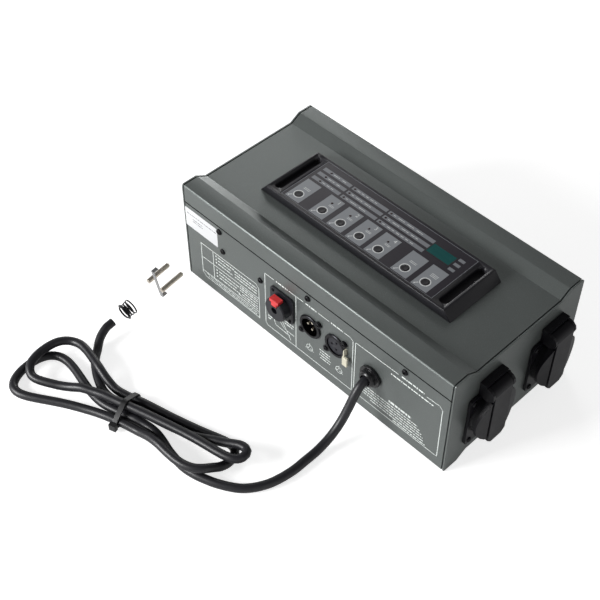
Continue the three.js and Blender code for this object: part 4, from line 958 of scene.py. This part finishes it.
# Rows of short strokes in place of words
def textRows(x0, x1, rows, height, seed):
    look = {"length": 3, "swing": 1.7, "gap": 0.75}
    forms = []
    for row, y in enumerate(rows):
        x = x0
        part = 0
        while x < x1:
            wide = look["length"] + look["swing"] * math.sin(seed * 12.9 + row * 4.1 + part * 2.3)
            stop = min(x + wide, x1)
            forms.append(patch(rectangle(x, y - height / 2, stop, y + height / 2)))
            x = stop + look["gap"]
            part += 1
    return forms


# A generic pin-out: a ring with three dots, and a lead from each
def pinSketch(x, y):
    look = {"radius": 3.9, "width": 0.5, "steps": 28, "dot": 0.62, "dotSteps": 10, "dotAt": 1.7,
            "lead": (2.6, 5.4), "leadWidth": 0.45}
    forms = [turned(band(circle(look["radius"], look["steps"]), look["width"], 0, printed["sheet"]), x, y)]

    def outward(angle, reach):
        turn = math.radians(angle)
        return x + reach * math.cos(turn), y + reach * math.sin(turn)

    for angle in (90, 210, 330):
        forms.append(turned(patch(circle(look["dot"], look["dotSteps"])), *outward(angle, look["dotAt"])))
        forms.append(stroke([outward(angle, reach) for reach in look["lead"]], look["leadWidth"], 0,
                            printed["sheet"]))
    return forms


def frontPrint():
    bullet = {"x": 41, "radius": 0.95, "steps": 12}
    forms = []

    def framed(points):
        forms.append(band(points, printed["line"], 0, printed["sheet"]))

    def rule(*points):
        forms.append(stroke(points, printed["line"], 0, printed["sheet"]))

    def rows(*spans, height=1.15):
        for index, (x0, x1, z) in enumerate(spans):
            forms.extend(textRows(x0, x1, (z,), height, index + z))

    # The table, with empty cells on its left and rows of strokes on its right
    framed([(24.6, 12.2), (98.4, 12.9), (98.5, 52.4), (94.6, 56), (20.2, 54.6), (19.9, 16.4)])
    rule((37, 54.6), (36.6, 19.4))
    rule((20.2, 36.4), (36.6, 37.4), (98.2, 38.8))
    rule((20.2, 18.8), (98.2, 20.6))
    rows((43.4, 66, 51.2), (43.4, 61, 47), (43.4, 63, 42.9), (66, 95.5, 50.2), (66, 96.4, 46.6), (66, 95, 43))
    rows((44, 96, 33.2), (44, 68, 29.1), (44, 72, 25), (73, 96, 35.8), (72, 96.4, 29.9), (75, 95.6, 26.4),
         (70, 96, 23.4))
    rows((26, 96.4, 17.6), (28, 95, 15), height=0.75)
    for z in (51.2, 47, 42.9, 33.2, 29.1, 25):
        forms.append(turned(patch(circle(bullet["radius"], bullet["steps"])), bullet["x"], z))
    # The frames of the jack and the data sockets share one upright
    rule((117.9, 78.6), (106.8, 78.6), (106.4, 14.6), (108.8, 12.2), (213.8, 12.8), (213.3, 76.6),
         (210.4, 79.2), (203.4, 79.2))
    rule((145.6, 78.6), (145.4, 12.6))
    rule((137, 78.8), (154.2, 79))
    rule((173, 79.2), (185, 79.2))
    rows((121, 135.4, 78.8), (157.2, 170.4, 79.1), (187.6, 201.4, 79.2), height=1.5)
    rows((109.6, 115.4, 26.6), (109.6, 113, 23.4), (129.6, 142.6, 36.4), (131, 142, 33))
    rule((114.6, 35.4), (119.4, 21.2), (137.4, 20.4))
    rule((121, 34.6), (130.6, 24.6), (142.6, 24.6))
    rule((126.6, 35), (138.6, 16.2))
    forms.extend(pinSketch(162.6, 26))
    forms.extend(pinSketch(198.4, 26.6))
    rows((174.6, 188, 34.4), (175.4, 187, 31), (174.6, 188.4, 27.6), (176, 187.6, 24.2))
    # The mains frame
    rule((263.4, 78.9), (216.2, 77.9), (216.2, 13.4), (311.3, 13.8), (310.9, 75.4), (307.6, 78.4),
         (294.4, 77.6))
    rows((267.4, 291.4, 79.1), height=1.7)
    rows((256, 301.4, 72.9), height=1.4)
    rows((256, 281, 36.9), height=2.6)
    rows((232, 288.4, 32.6), (224, 291, 29.3), (221, 293.4, 26), (221, 295, 22.7), (236, 296.4, 19.3),
         (262, 298, 16))
    addPiece("front_print", settled(gathered(forms), "front"), whiteInk, "overlay_print", sharp=20)


# The sticker at the left end of the front, with strokes in place of its words
def ratingLabel():
    look = {"wide": 43.2, "high": 22.6, "corner": 0.8, "steps": 2, "thick": 0.09, "ease": 0.03, "x": 23.4,
            "z": 76.7, "inkOut": -0.08, "stroke": 0.8}
    outline = roundedRectangle(look["wide"], look["high"], look["corner"], look["steps"])
    paper = settled(slab(outline, 0, look["thick"], look["ease"]), "front", look["x"], 0, look["z"])
    addPiece("rating_label", paper, labelPaper, "overlay_print", sharp=20)
    strokes = textRows(4, 43.4, (81.9,), look["stroke"], 1.7)
    strokes += textRows(11.5, 25, (77.6, 75), look["stroke"], 2.3)
    words = settled(gathered(strokes), "front", 0, look["inkOut"], 0)
    addPiece("label_rules", words, labelInk, "overlay_print", sharp=20)


frontPrint()
ratingLabel()

print("outlets")
outlet = {"x": {"right": 323, "left": -3}, "y": {"front": 45.5, "rear": 124.4}, "z": 50, "edge": 0.35,
          "lidEdge": 0.45, "screws": ((-20.4, -25.4), (20.4, -25.4), (-20.4, 22.4), (20.4, 22.4))}
for side, row in (("right", "front"), ("right", "rear"), ("left", "front"), ("left", "rear")):
    end = f"{side}_{row}"
    easedCopy(f"outlet_{end}", outletPlastic, "outlet_plastic", outlet["edge"])
    easedCopy(f"lid_{end}", lidPlastic, "outlet_plastic", outlet["lidEdge"])
    repaint(f"hinge_pin_{end}", steel)
    repaint(f"lid_spring_{end}", steel)
    repaint(f"earth_clip_{end}", brass)
    addScrews(f"outlet_screws_{end}", "outlet", [
        (side, outlet["x"][side], outlet["y"][row] + across, outlet["z"] + up, across + up)
        for across, up in outlet["screws"]])

print("front connectors")
jack = {"x": 129.6, "z": 56.4, "flange": -2.4, "screw": (10.4, 12.3)}
data = {"xs": (163.7, 194), "z": 55.2, "ear": (10.4, 10.9), "face": -1.6}
easedCopy("jack_body", jackPlastic, "jack_plastic", 0.35)
easedCopy("jack_release_tab", releaseRed, "release_red", 0.4)
addScrews("jack_screws", "jack", [
    ("front", jack["x"] + side * jack["screw"][0], jack["flange"], jack["z"] - side * jack["screw"][1], 0.5)
    for side in (1, -1)])
easedCopy("dmx_in_shell", shellBlack, "connector_shell", 0.25)
easedCopy("dmx_out_shell", shellBlack, "connector_shell", 0.25)
easedCopy("dmx_out_insert", insertPlastic, "insert_plastic", 0.2)
easedCopy("dmx_out_latch", latchCream, "latch_cream", 0.35)
easedCopy("cord_bushing", bushingPlastic, "cord_jacket", 0.4)
addScrews("data_screws", "data", [
    ("front", x + side * data["ear"][0], data["face"], data["z"] + side * data["ear"][1], x)
    for x in data["xs"] for side in (1, -1)])


# The plug-side insert: a dark disc at the back of the shell, and three round-nosed contacts through it
def dataContacts():
    look = {"circle": 4.2, "shares": (1 / 2, 5 / 24, -5 / 24), "steps": 20, "discSteps": 36}
    contact = [(0, -21), (1.3, -21), (1.3, -1), (1.15, -0.55), (0.7, -0.32), (0, -0.3)]
    disc = [(0, -10.9), (8.8, -10.9), (9, -10.7), (9, -8.7), (8.8, -8.5), (2.2, -8.5), (0, -8.5)]
    turns = [math.tau * share for share in look["shares"]]
    pins = gathered([turned(spunForm(contact, look["steps"]), look["circle"] * math.cos(turn),
                            look["circle"] * math.sin(turn)) for turn in turns])
    place = ("front", data["xs"][0], 0, data["z"])
    back = settled(spunForm(disc, look["discSteps"]), *place)
    addPiece("contact_disc", back, insertPlastic, "insert_plastic", replaced=("dmx_in_insert",))
    addPiece("contact_pins", settled(pins, *place), nickel, "contact_nickel", replaced=("dmx_in_insert",))


dataContacts()

print("rear and inside")
for node in ("fuse_holder", "fuse_cap"):
    easedCopy(node, jackPlastic, "jack_plastic", 0.3)
inside = {"control_board": board, "power_board": board, "heatsink": aluminium, "transformer": coreIron,
          "terminal_block": terminalPlastic}
for node, material in inside.items():
    repaint(node, material)

print("studio")
studio = {"floor": 0.8, "floorSize": 6, "floorSunk": 0.0002, "floorGlow": 0.72, "mirroredGlow": 0.27,
          "worldLow": 0.75, "worldHigh": 0.12, "worldHighFrom": 0.55}
white = (1, 1, 1, 1)
softboxes = {
    "key_light": {"place": (-0.85, -1.75, 0.85), "aim": (0, -0.05, 0.05), "size": (0.9, 0.7), "watts": 44},
    "side_light": {"place": (1.6, -0.5, 0.9), "aim": (0.1, 0, 0.05), "size": (0.6, 0.9), "watts": 1.7},
    "rear_light": {"place": (-0.75, 0.6, 0.8), "aim": (-0.1, 0, 0.1), "size": (0.4, 0.4), "watts": 1.15},
    # Small and low, for the shine at the left of the valley's front slope
    "slope_light": {"place": (-0.66, 0.62, 0.22), "aim": (-0.12, -0.05, 0.11), "size": (0.12, 0.1),
                    "watts": 0.8},
}


# A pale floor that takes the shadow, and glows to the camera and a little in what mirrors it
def studioFloor():
    form = bmesh.new()
    bmesh.ops.create_grid(form, x_segments=1, y_segments=1, size=studio["floorSize"])
    floor = heldIn("floor", form)
    material = bpy.data.materials.new("pale_floor")
    tree = bareTree(material)
    path = tree.nodes.new("ShaderNodeLightPath")
    start, glossy, through = [Socket(tree, path.outputs[f"Is {ray} Ray"])
                              for ray in ("Camera", "Glossy", "Transmission")]
    mirrored = glossy.maths("MAXIMUM", through)
    seen = start.maths("MAXIMUM", mirrored * studio["mirroredGlow"])
    matt = start.node("BsdfDiffuse", {}, {"Color": (studio["floor"],) * 3 + (1,)})
    glow = start.node("Emission", {}, {"Color": white, "Strength": seen * studio["floorGlow"]})
    both = start.node("AddShader", {}, {0: matt, 1: glow})
    start.node("OutputMaterial", {}, {"Surface": both})
    floor.data.materials.append(material)
    floor.location.z = -studio["floorSunk"]


# White to the camera, and to everything else pale at the horizon and dimmer overhead
def studioWorld():
    world = bpy.data.worlds.new("studio")
    scene.world = world
    tree = bareTree(world)
    start = Socket(tree, tree.nodes.new("ShaderNodeLightPath").outputs["Is Camera Ray"])
    way = Socket(tree, tree.nodes.new("ShaderNodeTexCoord").outputs["Generated"])
    height = way.node("SeparateXYZ", {}, {"Vector": way}, 2)
    level = height.node("MapRange", {}, {
        "Value": height, "From Min": 0.0, "From Max": studio["worldHighFrom"],
        "To Min": studio["worldLow"], "To Max": studio["worldHigh"]})
    strength = start.maths("MAXIMUM", level)
    sky = start.node("Background", {}, {"Color": white, "Strength": strength})
    start.node("OutputWorld", {}, {"Surface": sky})


def softbox(name, place, aim, size, watts):
    lamp = bpy.data.lights.new(name, "AREA")
    lamp.shape = "RECTANGLE"
    lamp.size, lamp.size_y = size
    lamp.energy = watts
    made = linked(name, lamp)
    made.location = place
    made.rotation_mode = "QUATERNION"
    made.rotation_quaternion = (Vector(aim) - Vector(place)).to_track_quat("-Z", "Y")


studioFloor()
studioWorld()
for name, settings in softboxes.items():
    softbox(name, **settings)
